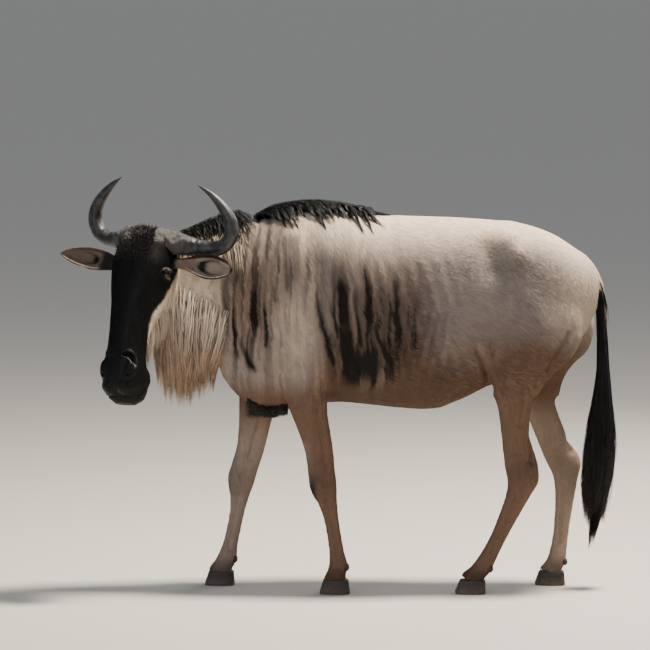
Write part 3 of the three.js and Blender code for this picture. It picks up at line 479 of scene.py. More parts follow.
# Muscles, bones and folds. A row is a side, a width, a height along the normal, and a line of x and z.
# A side of 0 is both flanks, -1 the left alone and 1 the right alone. All heights take one gain.
STROKE_GAIN = 1.6
STROKES = [
    (0, 24, 5, [(-330, 1140), (-300, 880)]),
    (0, 34, -6, [(-250, 1050), (-222, 850)]),
    (0, 40, 9, [(-430, 860), (-350, 760)]),
    (0, 34, 9, [(-262, 800), (-215, 735)]),
    (0, 16, -7, [(-196, 800), (-186, 700), (-240, 650)]),
    (0, 20, -6, [(-370, 700), (-330, 620)]),
    (0, 26, 2.5, [(-690, 1060), (-470, 900)]),
    (0, 16, -6, [(-715, 970), (-540, 800)]),
    (0, 34, -8, [(272, 1110), (290, 1035)]),
    (0, 52, -6, [(286, 1070), (320, 920)]),
    (0, 38, 10, [(345, 1130), (366, 1090)]),
    (0, 17, 6, [(268, 800), (290, 745), (308, 690), (322, 640)]),
    (0, 9, -8, [(243, 785), (262, 745), (276, 700), (284, 655)]),
    (0, 9, -9, [(540, 845), (505, 780), (470, 720)]),
    (0, 14, 3, [(560, 830), (520, 755), (485, 690)]),
    (0, 40, 7, [(400, 930), (450, 850)]),
    (0, 11, -4, [(96, 900), (60, 740)]),
    (0, 11, -3, [(150, 900), (128, 740)]),
    (-1, 13, -9, [(436, 620), (424, 520), (418, 430)]),
    (-1, 9, -3, [(396, 640), (384, 540)]),
    (-1, 8, -4, [(372, 320), (330, 220), (292, 130)]),
    (1, 13, -9, [(512, 600), (552, 500), (556, 440)]),
    (1, 8, -4, [(528, 330), (520, 230), (512, 130)]),
    (-1, 9, -4, [(-268, 640), (-250, 520), (-238, 420)]),
    (-1, 8, -4, [(-232, 300), (-216, 210), (-202, 120)]),
    (1, 9, -4, [(-420, 620), (-458, 510), (-482, 420)]),
    (1, 8, -4, [(-520, 290), (-538, 210), (-552, 130)]),
    (-1, 13, 4, [(-262, 372), (-262, 318)]),
    (1, 13, 4, [(-528, 366), (-532, 312)]),
]


def segment_distance(points, path):
    """Distance to a chain of points, and the share of the chain that is nearest."""
    best = np.full(len(points), 1e9)
    share = np.zeros(len(points))
    for k in range(len(path) - 1):
        a, b = np.array(path[k], float), np.array(path[k + 1], float)
        s = np.clip(((points - a) @ (b - a)) / ((b - a) @ (b - a)), 0, 1)
        d = np.linalg.norm(points - a - s[:, None] * (b - a), axis=1)
        nearer = d < best
        best = np.where(nearer, d, best)
        share = np.where(nearer, (k + s) / (len(path) - 1), share)
    return best, share


RIB_PITCH, FOLD_PITCH = 46, 34
SHEATH_AT, SHEATH_SIZE, SHEATH_HEIGHT = (140, 0, 570), (34, 22, 26), 9
push = np.zeros(len(mm))
for flank, width, height, line in STROKES:
    away, _ = segment_distance(mm[:, [0, 2]], line)
    sided = 1.0 if flank == 0 else (np.sign(mm[:, 1]) == flank)
    push += STROKE_GAIN * height * ridge(away, width) * sided * smoothstep(12, 40, np.abs(mm[:, 1]))
push += SHEATH_HEIGHT * np.exp(-(((mm - SHEATH_AT) / SHEATH_SIZE) ** 2).sum(1))
ribs = smoothstep(-230, -120, mm[:, 0]) * smoothstep(250, 120, mm[:, 0]) * smoothstep(640, 720, mm[:, 2])
ribs *= smoothstep(1120, 1020, mm[:, 2])
push += 1.4 * ribs * np.sin((mm[:, 0] + 0.25 * mm[:, 2]) / RIB_PITCH * 2 * np.pi)
folds = smoothstep(-640, -560, mm[:, 0]) * smoothstep(-330, -400, mm[:, 0]) * smoothstep(660, 760, mm[:, 2])
push += 1.8 * folds * np.sin((mm[:, 0] - 0.2 * mm[:, 2]) / FOLD_PITCH * 2 * np.pi)
normals = normals_of(hide.data)
co = co_of(hide.data) + normals * (push * (1 - on_head) * MM)[:, None]

# The eyes' openings, the fold over each lid, and the lids' rims.
for side in (-1, 1):
    flank = local * np.array((1, side, 1))
    eye = flank - np.array((EYE_BACK, EYE_SIDE, -EYE_DOWN))
    almond = np.sqrt((eye[:, 0] / 21) ** 2 + ((eye[:, 2] - 0.1 * eye[:, 0] + 1) / 12.5) ** 2)
    outside = smoothstep(-4, 6, eye[:, 1])
    deep = np.clip(np.linalg.norm(eye, axis=1) - (EYE_RADIUS - 4), 0, 14)
    co -= normals * (smoothstep(1.06, 0.88, almond) * outside * deep * MM)[:, None]
    co += normals * (ridge(almond - 1.3, 0.22) * outside * 1.6 * MM)[:, None]
    upper = smoothstep(-2, 8, eye[:, 2])
    co -= normals * (ridge(almond - 1.9, 0.18) * upper * outside * 2 * MM)[:, None]
    tear = ridge(almond - 1.75, 0.2) * (1 - upper) * outside
    co -= normals * (tear * 1.2 * MM)[:, None]
hide.data.vertices.foreach_set("co", co.ravel())
hide.data.update()
# The hollow before the hip is drawn smooth.
relax(hide.data, 0.5 * spot(mm, 282, 1020, 50, 45), 40)

# Nostrils: slits that curl over at the top inside a raised rim. The rim runs on round the bare nose pad.
NOSTRIL = [(-20, 27, -399), (-12, 41, -398), (-2, 51, -409), (3, 54, -428), (-1, 52, -448), (-9, 44, -462)]
PAD_RIM = [(-14, 44, -470), (-16, 36, -484), (-16, 22, -494), (-14, 0, -498)]
MOUTH = [(-46, -532), (4, -534), (46, -522), (82, -486), (104, -448)]
normals = normals_of(hide.data)
co = co_of(hide.data)
local = to_head(co)
for side in (-1, 1):
    flank = local * np.array((1, side, 1))
    away, share = segment_distance(flank, NOSTRIL)
    bore = 3.5 + 5.5 * np.sin(np.pi * (0.15 + 0.75 * share))
    co -= normals * (smoothstep(bore + 2.5, bore * 0.3, away) * (9 + 9 * share) * MM)[:, None]
    co += normals * (ridge(away - bore - 4, 3.8) * 2.6 * MM)[:, None]
    away, _ = segment_distance(flank, PAD_RIM)
    co += normals * (ridge(away, 4.5) * 2.4 * MM)[:, None]
lips, _ = segment_distance(local[:, [0, 2]], MOUTH)
front = smoothstep(-400, -440, local[:, 2]) * (local[:, 0] < 112)
co -= normals * (ridge(lips, 2.6) * front * 3.6 * MM)[:, None]
cleft = ridge(local[:, 1], 3) * smoothstep(-500, -506, local[:, 2]) * smoothstep(-524, -519, local[:, 2])
co -= normals * (cleft * (local[:, 0] < 20) * 2 * MM)[:, None]
hide.data.vertices.foreach_set("co", co.ravel())
hide.data.update()
relax(hide.data, 0.5 * on_head, 1)
finish_modifier(hide, "DECIMATE", ratio=min(1.0, HIDE_TRIANGLES / (2 * len(hide.data.polygons))))
bpy.ops.object.shade_smooth()


def noise(points, seed=0):
    """Smooth random values from 0 to 1, a cell to a unit."""
    cell = np.floor(points).astype(np.int64)
    f = points - cell
    f = f * f * (3 - 2 * f)
    total = np.zeros(len(points))
    for corner in range(8):
        bits = np.array((corner & 1, corner >> 1 & 1, corner >> 2 & 1))
        h = ((cell + bits) * np.array((374761393, 668265263, 1274126177))).sum(1) + seed * 974711
        h = (h ^ (h >> 13)) * 1103515245
        h = (h ^ (h >> 16)) & 0xFFFF
        total += np.where(bits, f, 1 - f).prod(1) * h / 0xFFFF
    return total


# The brindle on neck, shoulder and ribs. A row is a width, a darkness, and a line of x and z.
BRINDLE = [
    (10, 0.65, [(-529, 983), (-525, 807), (-510, 749)]),
    (14, 1.05, [(-494, 862), (-502, 807), (-479, 745), (-455, 710)]),
    (8, 0.7, [(-467, 963), (-471, 885)]),
    (9, 0.9, [(-455, 986), (-455, 846)]),
    (11, 1.1, [(-424, 945), (-428, 854), (-426, 785)]),
    (10, 0.7, [(-401, 1000), (-397, 930)]),
    (10, 0.6, [(-370, 1105), (-362, 965)]),
    (10, 0.65, [(-308, 1105), (-288, 995)]),
    (12, 1.05, [(-273, 1045), (-263, 947), (-253, 862), (-226, 784), (-199, 730)]),
    (12, 1.0, [(-226, 1015), (-219, 924), (-203, 862), (-188, 796), (-178, 725)]),
    (12, 1.1, [(-195, 1035), (-189, 940), (-186, 870)]),
    (17, 1.3, [(-156, 1065), (-149, 940), (-137, 862), (-125, 770)]),
    (9, 0.6, [(-114, 1105), (-114, 880)]),
    (17, 1.25, [(-93, 985), (-75, 862), (-59, 788), (-42, 735)]),
    (16, 1.1, [(-58, 1000), (-25, 893), (-7, 835)]),
    (22, 0.7, [(14, 970), (34, 846), (37, 780)]),
    (9, 0.6, [(-592, 1000), (-600, 880)]),
    (10, 0.7, [(-560, 1040), (-562, 860)]),
]
PALE_STREAK = [(-176, 1129), (-160, 965), (-144, 763)]
# The black of the face ends at these depths behind its front, by distance down it.
MASK_EDGE = [
    (40, 160), (110, 136), (150, 118), (200, 98), (240, 62), (290, 56), (340, 75), (390, 100), (430, 260),
    (560, 260),
]
EAR_START = 104
KNEES = [(-262, 345), (-528, 338), (372, 380), (520, 395)]


def ear_share(h):
    """How far places in the head's millimetres are on an ear, from 0 to 1."""
    aside = smoothstep(EAR_START - 8, EAR_START + 8, np.abs(h[:, 1]))
    return aside * (h[:, 2] > -142) * (h[:, 2] < 0) * (h[:, 0] > 0) * (h[:, 0] < 160)


def brindle_and_shade_of(p, streak, drift, low, haze, ribs_dark, mantle):
    """The dark stripes of neck, shoulder and ribs, with the softer streaks between them, and painted shade
    on the lower barrel.
    """
    brindle = np.zeros(len(p))
    for width, dark, line in BRINDLE:
        away, share = segment_distance(drift, line)
        ends = smoothstep(0, 0.35, share) * smoothstep(1.02, 0.85, share) * (0.65 + 0.4 * share)
        brindle = np.maximum(brindle, dark * ends * ridge(1.3 * away, width))
    brindle = np.maximum(brindle, low)
    brindle = np.clip(brindle * (0.8 + 0.5 * streak) + haze * smoothstep(0.42, 0.62, streak), 0, 1)
    # Painted shade: the lower barrel behind the forelegs is darkened with the brindle colour.
    shaded = smoothstep(800, 700, p[:, 2]) * smoothstep(-250, -200, p[:, 0]) * smoothstep(330, 120, p[:, 0])
    brindle = np.maximum(brindle, np.maximum(0.58 * ribs_dark, 0.5 * shaded * (0.6 + 0.4 * streak)))
    brindle = np.maximum(brindle, 0.75 * mantle * smoothstep(0.45, 0.7, streak))
    pale, _ = segment_distance(drift, PALE_STREAK)
    return brindle * ((1 - 0.9 * ridge(pale, 6)) * smoothstep(540, 600, p[:, 2]))


def ear_masks(h, facing):
    """Black and cream of both ears: dark rim, root and tip, a dark pit, and rings inside the cup. The far
    ear is painted darker, as painted shade.
    """
    forward = -(facing @ HEAD_TURN)[:, 0]
    along_ear, across = np.zeros(len(h)), np.zeros(len(h))
    for shape in EARS.values():
        along, up, _ = ear_axes(shape)
        own = h[:, 1] * shape["side"] > 0
        away = h - np.array(shape["root"], float)
        share = away @ along / EAR_LENGTH
        half = np.interp(share, EAR_SHARES, shape["half"])
        along_ear = np.where(own, share, along_ear)
        across = np.where(own, (away @ up + EAR_DROOP * share**2) / half, across)
    inside = smoothstep(0.0, 0.45, forward) * smoothstep(0.38, 0.5, along_ear)
    pit = np.exp(-((along_ear - 0.5) / 0.07) ** 2 - (across / 0.42) ** 2)
    rings = np.hypot((along_ear - 0.68) / 0.19, across / 0.55)
    rings = ridge(rings - 1, 0.22) * smoothstep(0.95, 0.6, along_ear)
    hairs = noise(np.stack([np.abs(h[:, 1]) / 30, h[:, 2] / 3, h[:, 0] / 9], 1), 21)
    black = 0.12 + inside * (0.3 * hairs + 0.85 * pit + 0.6 * rings)
    rim = smoothstep(0.78, 0.93, np.abs(across)) * smoothstep(0.34, 0.48, along_ear)
    root = smoothstep(0.55, 0.8, across) * smoothstep(0.05, 0.2, along_ear)
    tip = smoothstep(0.92, 0.98, along_ear)
    for dark in (rim, root, tip):
        black = np.maximum(black, 0.97 * dark)
    # Painted shade: the right ear, on the far side, is painted dark all over, with fainter marks and less
    # cream inside.
    right = h[:, 1] > 0
    black = np.where(right, 0.75 * black, black)
    far = right * np.maximum(0.92 * (1 - inside), 0.45 * inside)
    cream = (0.08 + 0.42 * inside) * (1 - 0.6 * right)
    return np.clip(np.maximum(black, far), 0, 1), cream


def markings_and_painted_light(points, facing):
    """Black, brindle, cream and tan from 0 to 1 at places in the frame, whose normals are given as well.
    Painted light and painted shade are among them.
    """
    p = in_mm(points)
    h = to_head(points)
    ahead = smoothstep(25, -5, past_seam(p))
    ear = ahead * ear_share(h)
    down = -h[:, 2]
    wobble = 10 * (noise(p / 18, 3) - 0.5)
    edge = np.interp(down, *np.array(MASK_EDGE, float).T)
    face = ahead * smoothstep(9, -9, h[:, 0] + wobble - edge) * smoothstep(-40, 10, down)
    cheeks = ahead * (1 - face)
    behind_eye = 0.6 * ahead * smoothstep(150, 110, down) * smoothstep(150, 110, h[:, 0])
    black = np.maximum(face, behind_eye)
    brisket = smoothstep(612, 588, p[:, 2] + wobble) * smoothstep(540, 556, p[:, 2])
    brisket *= smoothstep(-510, -480, p[:, 0]) * smoothstep(-345, -370, p[:, 0])
    brisket *= smoothstep(92, 70, np.abs(p[:, 1]))
    black = np.maximum(black, 0.97 * brisket)

    # Stripes wander, lie a little further forward on the right side, and have streaks along them.
    drift = np.stack([p[:, 0] + 14 * (noise(p / 70, 5) - 0.5) + 9 * (noise(p / 26, 6) - 0.5), p[:, 2]], 1)
    drift[:, 0] += 9 * (p[:, 1] > 0)
    level = np.full(len(p), 3.0)
    streak = 0.6 * noise(np.stack([drift[:, 0] / 10, level, p[:, 2] / 240], 1), 8)
    streak += 0.4 * noise(np.stack([drift[:, 0] / 4.5, level, p[:, 2] / 130], 1), 9)
    low = spot(p, -112, 745, 68, 72)
    patch = smoothstep(0.3, 0.85, low + 0.8 * (streak - 0.42)) * smoothstep(0.1, 0.4, low)
    black = np.maximum(black, 0.97 * patch)
    ribs_dark = spot(p, -80, 860, 165, 190, 4)
    haze = np.maximum(ribs_dark, spot(p, -490, 900, 90, 150))
    mantle = spot(p, -420, 1010, 150, 150)
    brindle = brindle_and_shade_of(p, streak, drift, low, haze, ribs_dark, mantle) * (1 - ahead)
    # Painted shade: the hollow before the hip is darkened with the brindle colour.
    hollow, _ = segment_distance(p[:, [0, 2]], [(276, 1100), (292, 1040)])
    brindle = np.maximum(brindle, 0.22 * ridge(hollow, 26))

    # The throat and the streaks between the stripes are pale coat. The top of the back, the top of the
    # rump, a patch on the shoulder and the withers are painted light: paler where light from above falls.
    throat = smoothstep(-520, -600, p[:, 0]) * (1 - face) * smoothstep(560, 760, p[:, 2])
    back = smoothstep(1040, 1170, p[:, 2]) * smoothstep(-420, -300, p[:, 0])
    rump = smoothstep(420, 600, p[:, 0]) * smoothstep(740, 900, p[:, 2])
    streaks = 0.2 * smoothstep(0.6, 0.25, streak) * smoothstep(60, -60, p[:, 0])
    streaks *= smoothstep(560, 680, p[:, 2])
    shoulder = spot(p, -330, 850, 70, 120)
    withers = spot(p, -430, 1110, 120, 80)
    pale_coat_and_painted_light = 0.85 * throat + 0.7 * back + 0.5 * rump + streaks + 0.65 * shoulder + 0.2 * withers
    cheek = noise(h / (7, 7, 70), 14)
    cream = np.clip(pale_coat_and_painted_light + throat * 1.1 * (streak - 0.6) + (0.3 + 0.75 * cheek) * cheeks, 0, 1)
    brindle = np.maximum(brindle, 0.45 * throat * smoothstep(0.5, 0.3, streak) * (1 - ahead))
    brindle = np.maximum(brindle, 0.35 * smoothstep(0.5, 0.25, cheek) * cheeks)

    belly = smoothstep(720, 610, p[:, 2]) * smoothstep(470, 540, p[:, 2])
    thigh = spot(p, 420, 740, 150, 110)
    # Painted shade: the lower trunk and the legs behind the shoulder are painted browner with tan.
    under = smoothstep(900, 680, p[:, 2]) * smoothstep(-330, -230, p[:, 0])
    legs = smoothstep(640, 500, p[:, 2]) * np.where(p[:, 0] < 0, 0.5, 0.75)
    tan = belly * (1 - 0.5 * legs) + legs + 0.6 * thigh + 0.3 * cheeks + 0.6 * haze + 0.8 * under
    tan = np.clip(tan + 0.55 * mantle, 0, 1)
    cream *= 1 - 0.8 * belly
    # Painted light: the far legs are painted paler than the near ones.
    cream = np.clip(cream + 0.4 * legs * (p[:, 1] > 0), 0, 1)
    for x, z in KNEES:
        black = np.maximum(black, 0.22 * spot(p, x, z, 60, 70))
    feet = smoothstep(105, 55, p[:, 2])
    # Painted shade: a narrow black streak on the front of the near foreleg's knee.
    painted_knee_shade = spot(p, -282, 332, 15, 46) * (p[:, 1] < 0)
    black = np.maximum(black, np.maximum(0.5 * feet, 0.9 * painted_knee_shade))

    swirl = face * smoothstep(105, 30, down) * smoothstep(60, 20, h[:, 0])
    swirl *= smoothstep(EAR_START, 70, np.abs(h[:, 1]))
    tan = np.clip(tan + swirl, 0, 1)
    black = np.clip(black * (1 - 0.05 * swirl * (0.4 + noise(p / 8, 12))), 0, 1)

    ear_black, ear_cream = ear_masks(h, facing)
    black = black * (1 - ear) + ear * ear_black
    cream = cream * (1 - ear) + ear * ear_cream
    tan = tan * (1 - ear) + ear * 0.75
    brindle = brindle * (1 - ear)
    return np.stack([black, brindle, cream, tan], 1)


def paint(mesh, values, tone):
    """Stores the colour masks, painted light and shade among them, and the hair-to-hair lightness on the
    points of a mesh.
    """
    layer = mesh.attributes.new("markings_and_painted_light", "FLOAT_COLOR", "POINT")
    layer.data.foreach_set("color", np.ascontiguousarray(values, np.float32).ravel())
    layer = mesh.attributes.new("tone", "FLOAT", "POINT")
    layer.data.foreach_set("value", np.ascontiguousarray(tone, np.float32))


normals = normals_of(hide.data)
co = co_of(hide.data)
paint(hide.data, markings_and_painted_light(co, normals), 0.35 + 0.3 * noise(co / (6 * MM), 31))


def linear(hex_colour):
    """An sRGB hex colour as linear RGBA."""
    parts = [int(hex_colour[i : i + 2], 16) / 255 for i in (1, 3, 5)]
    return [c / 12.92 if c <= 0.04045 else ((c + 0.055) / 1.055) ** 2.4 for c in parts] + [1.0]


def node(tree, kind, inputs=None, **fields):
    """Adds a shader node, sets its fields, and gives its inputs values or links from other nodes."""
    made = tree.nodes.new(kind)
    for key, value in fields.items():
        setattr(made, key, value)
    for key, value in (inputs or {}).items():
        if isinstance(value, bpy.types.NodeSocket):
            tree.links.new(value, made.inputs[key])
        else:
            made.inputs[key].default_value = value
    return made


def new_material(name):
    material = bpy.data.materials.new(name)
    material.use_nodes = True
    material.node_tree.nodes.clear()
    return material, material.node_tree


# Hair: dull and fibrous on the body, sleeker where it is black. Grain is 3 mm, a lock of body hair, and
# clouds are 70 mm, the patches in which the coat turns a little lighter or darker. The inputs of a colour
# mix are its share, 0, and its two colours, 6 and 7.
# The cream also serves as painted light, and the tan, brindle and black as painted shade.
COAT_GREY, COAT_CREAM_AND_LIGHT, COAT_TAN_AND_SHADE = "#877C75", "#D5C2AD", "#6A5344"
COAT_BRINDLE_AND_SHADE, COAT_BLACK_AND_SHADE = "#1F1815", "#050505"
COAT_GRAIN, COAT_CLOUDS = 3.0 * MM, 70 * MM


def coat_material(name, rough, specular, sheen, bump=0.5, pale=COAT_CREAM_AND_LIGHT, warm=COAT_TAN_AND_SHADE):
    """Hair that takes its colour from the colour masks, painted light and shade among them, and its
    lightness from the tone of each lock.
    """
    material, tree = new_material(name)
    place = node(tree, "ShaderNodeTexCoord").outputs["Object"]
    masks = node(tree, "ShaderNodeAttribute", attribute_name="markings_and_painted_light")
    tone = node(tree, "ShaderNodeAttribute", attribute_name="tone")
    split = node(tree, "ShaderNodeSeparateColor", {"Color": masks.outputs["Color"]})
    colour = linear(COAT_GREY)
    layers = [
        (masks.outputs["Alpha"], warm), (split.outputs["Blue"], pale),
        (split.outputs["Green"], COAT_BRINDLE_AND_SHADE), (split.outputs["Red"], COAT_BLACK_AND_SHADE),
    ]
    for mask, dye in layers:
        mixed = node(tree, "ShaderNodeMix", {0: mask, 6: colour, 7: linear(dye)}, data_type="RGBA")
        colour = mixed.outputs[2]
    clouds = node(tree, "ShaderNodeTexNoise", {"Scale": 1 / COAT_CLOUDS, "Detail": 3.0, "Vector": place})
    hairs = node(tree, "ShaderNodeTexNoise", {"Scale": 1 / COAT_GRAIN, "Detail": 4.0, "Vector": place})
    ranges = [
        (clouds.outputs["Fac"], 0.88, 1.12), (tone.outputs["Fac"], 0.62, 1.38),
        (split.outputs["Red"], rough, 0.6 * rough),
    ]
    light, strand, sleek = [
        node(tree, "ShaderNodeMapRange", {"Value": value, "To Min": least, "To Max": most}).outputs[0]
        for value, least, most in ranges
    ]
    shade = node(tree, "ShaderNodeMath", {0: light, 1: strand}, operation="MULTIPLY").outputs[0]
    both = {0: 1.0, 6: colour, 7: shade}
    shaded = node(tree, "ShaderNodeMix", both, data_type="RGBA", blend_type="MULTIPLY")
    relief = node(
        tree, "ShaderNodeBump", {"Strength": bump, "Distance": 1.2 * MM, "Height": hairs.outputs["Fac"]}
    )
    shader = node(
        tree,
        "ShaderNodeBsdfPrincipled",
        {
            "Specular IOR Level": specular, "Sheen Weight": sheen, "Sheen Roughness": 0.5,
            "Base Color": shaded.outputs[2], "Normal": relief.outputs["Normal"], "Roughness": sleek,
        },
    )
    node(tree, "ShaderNodeOutputMaterial", {"Surface": shader.outputs[0]})
    return material


hide.data.materials.clear()
hide.data.materials.append(coat_material("hide under short fur", 0.8, 0.17, 0.0))
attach(hide, "root")
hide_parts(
    "head", "neck", "forequarters", "barrel", "hindquarters", "tail_dock", "ear_left", "ear_right",
    "leg_front_left", "leg_front_right", "leg_hind_left", "leg_hind_right",
)

# Short fur
# Summer coat, from 4 mm on the muzzle to 30 mm on the neck. It lies back over the trunk, down the legs, and
# down the face from a swirl.
# Each tuft is a flat tapered lock with its root in the hide; four pieces run from the head to the rump.
draw = np.random.default_rng(7)
# Where each part of the hide lies on the bake map: left, low, right and high edge
CHARTS = {
    "body": (0.01, 0.01, 0.62, 0.99), "head": (0.64, 0.70, 0.99, 0.99), "ear": (0.64, 0.05, 0.99, 0.08),
    "front_left": (0.64, 0.54, 0.99, 0.68), "front_right": (0.64, 0.39, 0.99, 0.53),
    "hind_left": (0.64, 0.24, 0.99, 0.38), "hind_right": (0.64, 0.09, 0.99, 0.23),
    "dock": (0.64, 0.01, 0.99, 0.04),
}


def unwrap(points):
    """Places in the frame on an unwrap of the hide, round the trunk, head, legs, ears and dock."""
    p = in_mm(points)
    h = to_head(points)
    share = np.stack([(p[:, 0] + 800) / 1450, np.arctan2(p[:, 1], p[:, 2] - 900) / (2 * np.pi) + 0.5], 1)
    corner = np.array([CHARTS["body"]] * len(p))
    for leg, (_, joints) in LEGS.items():
        joints = np.array(joints, float)
        low = (p[:, 2] < 590) & (np.sign(p[:, 1]) == np.sign(joints[0][1]))
        low &= (p[:, 0] < 60) == ("front" in leg)
        middle = np.interp(p[:, 2], joints[::-1, 2], joints[::-1, 0])
        turn = np.arctan2(p[:, 1] - joints[3][1], p[:, 0] - middle) / (2 * np.pi) + 0.5
        share = np.where(low[:, None], np.stack([p[:, 2] / 600, turn], 1), share)
        corner = np.where(low[:, None], np.array(CHARTS[leg]), corner)
    dock = p[:, 0] > 628
    share = np.where(dock[:, None], np.stack([p[:, 2] / 1100, 0.5 + p[:, 1] / 80], 1), share)
    corner = np.where(dock[:, None], np.array(CHARTS["dock"]), corner)
    ahead = past_seam(p) < 0
    turn = np.arctan2(h[:, 1], h[:, 0] - 80) / (2 * np.pi) + 0.5
    share = np.where(ahead[:, None], np.stack([(20 - h[:, 2]) / 580, turn], 1), share)
    corner = np.where(ahead[:, None], np.array(CHARTS["head"]), corner)
    ear = ahead & (ear_share(h) > 0.5)
    share = np.where(ear[:, None], np.stack([h[:, 1] / 800 + 0.5, (h[:, 2] + 150) / 130], 1), share)
    corner = np.where(ear[:, None], np.array(CHARTS["ear"]), corner)
    return corner[:, :2] + np.clip(share, 0, 1) * (corner[:, 2:] - corner[:, :2])


def mesh_from(name, points, triangles, uvs):
    """A mesh object of loose closed tufts, with the bake map that carries each tuft's patch."""
    mesh = bpy.data.meshes.new(name)
    mesh.vertices.add(len(points))
    mesh.vertices.foreach_set("co", np.ascontiguousarray(points, np.float32).ravel())
    mesh.loops.add(triangles.size)
    mesh.loops.foreach_set("vertex_index", triangles.ravel().astype(np.int32))
    mesh.polygons.add(len(triangles))
    mesh.polygons.foreach_set("loop_start", np.arange(len(triangles), dtype=np.int32) * 3)
    mesh.update(calc_edges=True)
    layer = mesh.uv_layers.new(name="OFBake")
    layer.uv.foreach_set("vector", np.ascontiguousarray(uvs[triangles.ravel()], np.float32).ravel())
    piece = bpy.data.objects.new(name, mesh)
    bpy.context.collection.objects.link(piece)
    return piece


def unit(v):
    return v / np.maximum(np.linalg.norm(v, axis=-1, keepdims=True), 1e-9)


# Each tuft or lock is a patch of this size on the bake map.
PATCH = 0.003


def tuft_piece(name, roots, normals, lie, length, width, lift, masks, tone, material):
    """Short tufts: three-sided pyramids laid along the lie, their bases sunk in the hide."""
    lie = unit(lie - normals * (lie * normals).sum(1, keepdims=True))
    across = np.cross(normals, lie)
    half, length = (width * MM / 2)[:, None], (length * MM)[:, None]
    base = roots - normals * half * 1.2
    ring = np.stack(
        [
            base + across * half,
            base - across * half,
            roots + normals * half * 0.9 - lie * half,
            roots + lie * length + normals * length * lift[:, None],
        ],
        1,
    )
    count = len(roots)
    triangles = np.array([(0, 1, 2), (0, 3, 1), (1, 3, 2), (2, 3, 0)]) + np.arange(count)[:, None, None] * 4
    offset = np.array([(-0.5, -0.5), (0.5, -0.5), (0, -0.2), (0, 0.5)]) * PATCH
    uvs = (unwrap(roots)[:, None] + offset).reshape(-1, 2)
    piece = mesh_from(name, ring.reshape(-1, 3), triangles.reshape(-1, 3), uvs)
    paint(piece.data, np.repeat(masks, 4, axis=0), np.repeat(tone, 4))
    # The tufts are shaded with nearly the hide's own normals, as hair that lies flat is.
    facing = unit(normals + 0.12 * across * draw.normal(size=(count, 1)))
    piece.data.normals_split_custom_set_from_vertices(np.repeat(facing, 4, axis=0))
    piece.data.materials.append(material)
    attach(piece, "root")
    return piece


def scatter(mesh, count, wanted):
    """Seeded places spread evenly over the triangles of a mesh where wanted is true, with their normals."""
    mesh.calc_loop_triangles()
    corners = np.empty(len(mesh.loop_triangles) * 3, int)
    mesh.loop_triangles.foreach_get("vertices", corners)
    corners = corners.reshape(-1, 3)
    co, normals = co_of(mesh), normals_of(mesh)
    a, b, c = co[corners].transpose(1, 0, 2)
    weight = np.linalg.norm(np.cross(b - a, c - a), axis=1) * wanted((a + b + c) / 3)
    chosen = np.searchsorted(np.cumsum(weight), draw.random(count) * weight.sum())
    r, s = np.sqrt(draw.random(count)), draw.random(count)
    blend = np.stack([1 - r, r * (1 - s), r * s], 1)[:, :, None]
    places = (co[corners[chosen]] * blend).sum(1)
    return places, unit((normals[corners[chosen]] * blend).sum(1))


def lie_of(points):
    """The direction in which the short coat lies, and its length in millimetres."""
    p = in_mm(points)
    h = to_head(points)
    neck = smoothstep(-430, -560, p[:, 0])
    low = smoothstep(700, 560, p[:, 2])
    rump = smoothstep(380, 560, p[:, 0])
    steep = 0.45 + 0.7 * smoothstep(80, -120, p[:, 0]) + 0.3 * neck + 1.2 * low + 0.5 * rump
    steep = np.clip(steep, 0, 1.45) + 0.5 * (noise(p / 90, 41) - 0.5)
    lie = np.stack([np.cos(steep), np.zeros_like(steep), -np.sin(steep)], 1)
    length = 15 + 6 * neck - 6 * low + 4 * smoothstep(-560, -660, p[:, 0])
    swirl = h - np.array((-8, 0, -56))
    away = np.linalg.norm(swirl[:, 1:], axis=1)
    down = np.array((0.1, 0, -1)) + np.stack([h[:, 0] * 0.004, 0.004 * h[:, 1], h[:, 0] * 0], 1)
    turn = smoothstep(30, 130, away)[:, None]
    on_face = unit(unit(swirl * np.array((0, 1, 1))) * (1 - turn) + down * turn)
    is_ear = (ear_share(h) > 0.5)[:, None]
    on_face = np.where(is_ear, np.sign(h) * (0, 1, 0), on_face)
    ahead = smoothstep(12, -12, past_seam(p))
    lie = lie * (1 - ahead[:, None]) + (on_face @ HEAD_TURN.T) * ahead[:, None]
    muzzle = smoothstep(-330, -430, h[:, 2])
    length = length * (1 - ahead) + (10 - 5 * muzzle - 2 * is_ear[:, 0]) * ahead
    return unit(lie), length


short_fur = coat_material("short summer fur", 0.78, 0.15, 0.0)
# Each piece of fur has a count of tufts, and a zone by x and by whether a place is ahead of the seam.
FUR = {
    "fur_head": (34_000, lambda x, ahead: ahead),
    "fur_fore": (48_000, lambda x, ahead: ~ahead & (x < -240)),
    "fur_barrel": (48_000, lambda x, ahead: ~ahead & (x >= -240) & (x < 250)),
    "fur_rump": (48_000, lambda x, ahead: ~ahead & (x >= 250)),
}
CORONET_HEIGHT = 52


def furred(points, zone):
    """Where the hide has short fur: in the zone, above the hooves, and off the nose pad and the eyes."""
    p = in_mm(points)
    h = to_head(points)
    ahead = past_seam(p) < 0
    bare = ahead & (np.abs(h[:, 1]) < 48) & (h[:, 0] < 12) & (h[:, 2] < -440)
    from_eye = np.linalg.norm(np.abs(h) - (EYE_BACK, EYE_SIDE, EYE_DOWN), axis=1)
    eye = ahead & (from_eye < EYE_RADIUS + 4)
    return zone(p[:, 0], ahead) * (p[:, 2] > CORONET_HEIGHT) * ~bare * ~eye


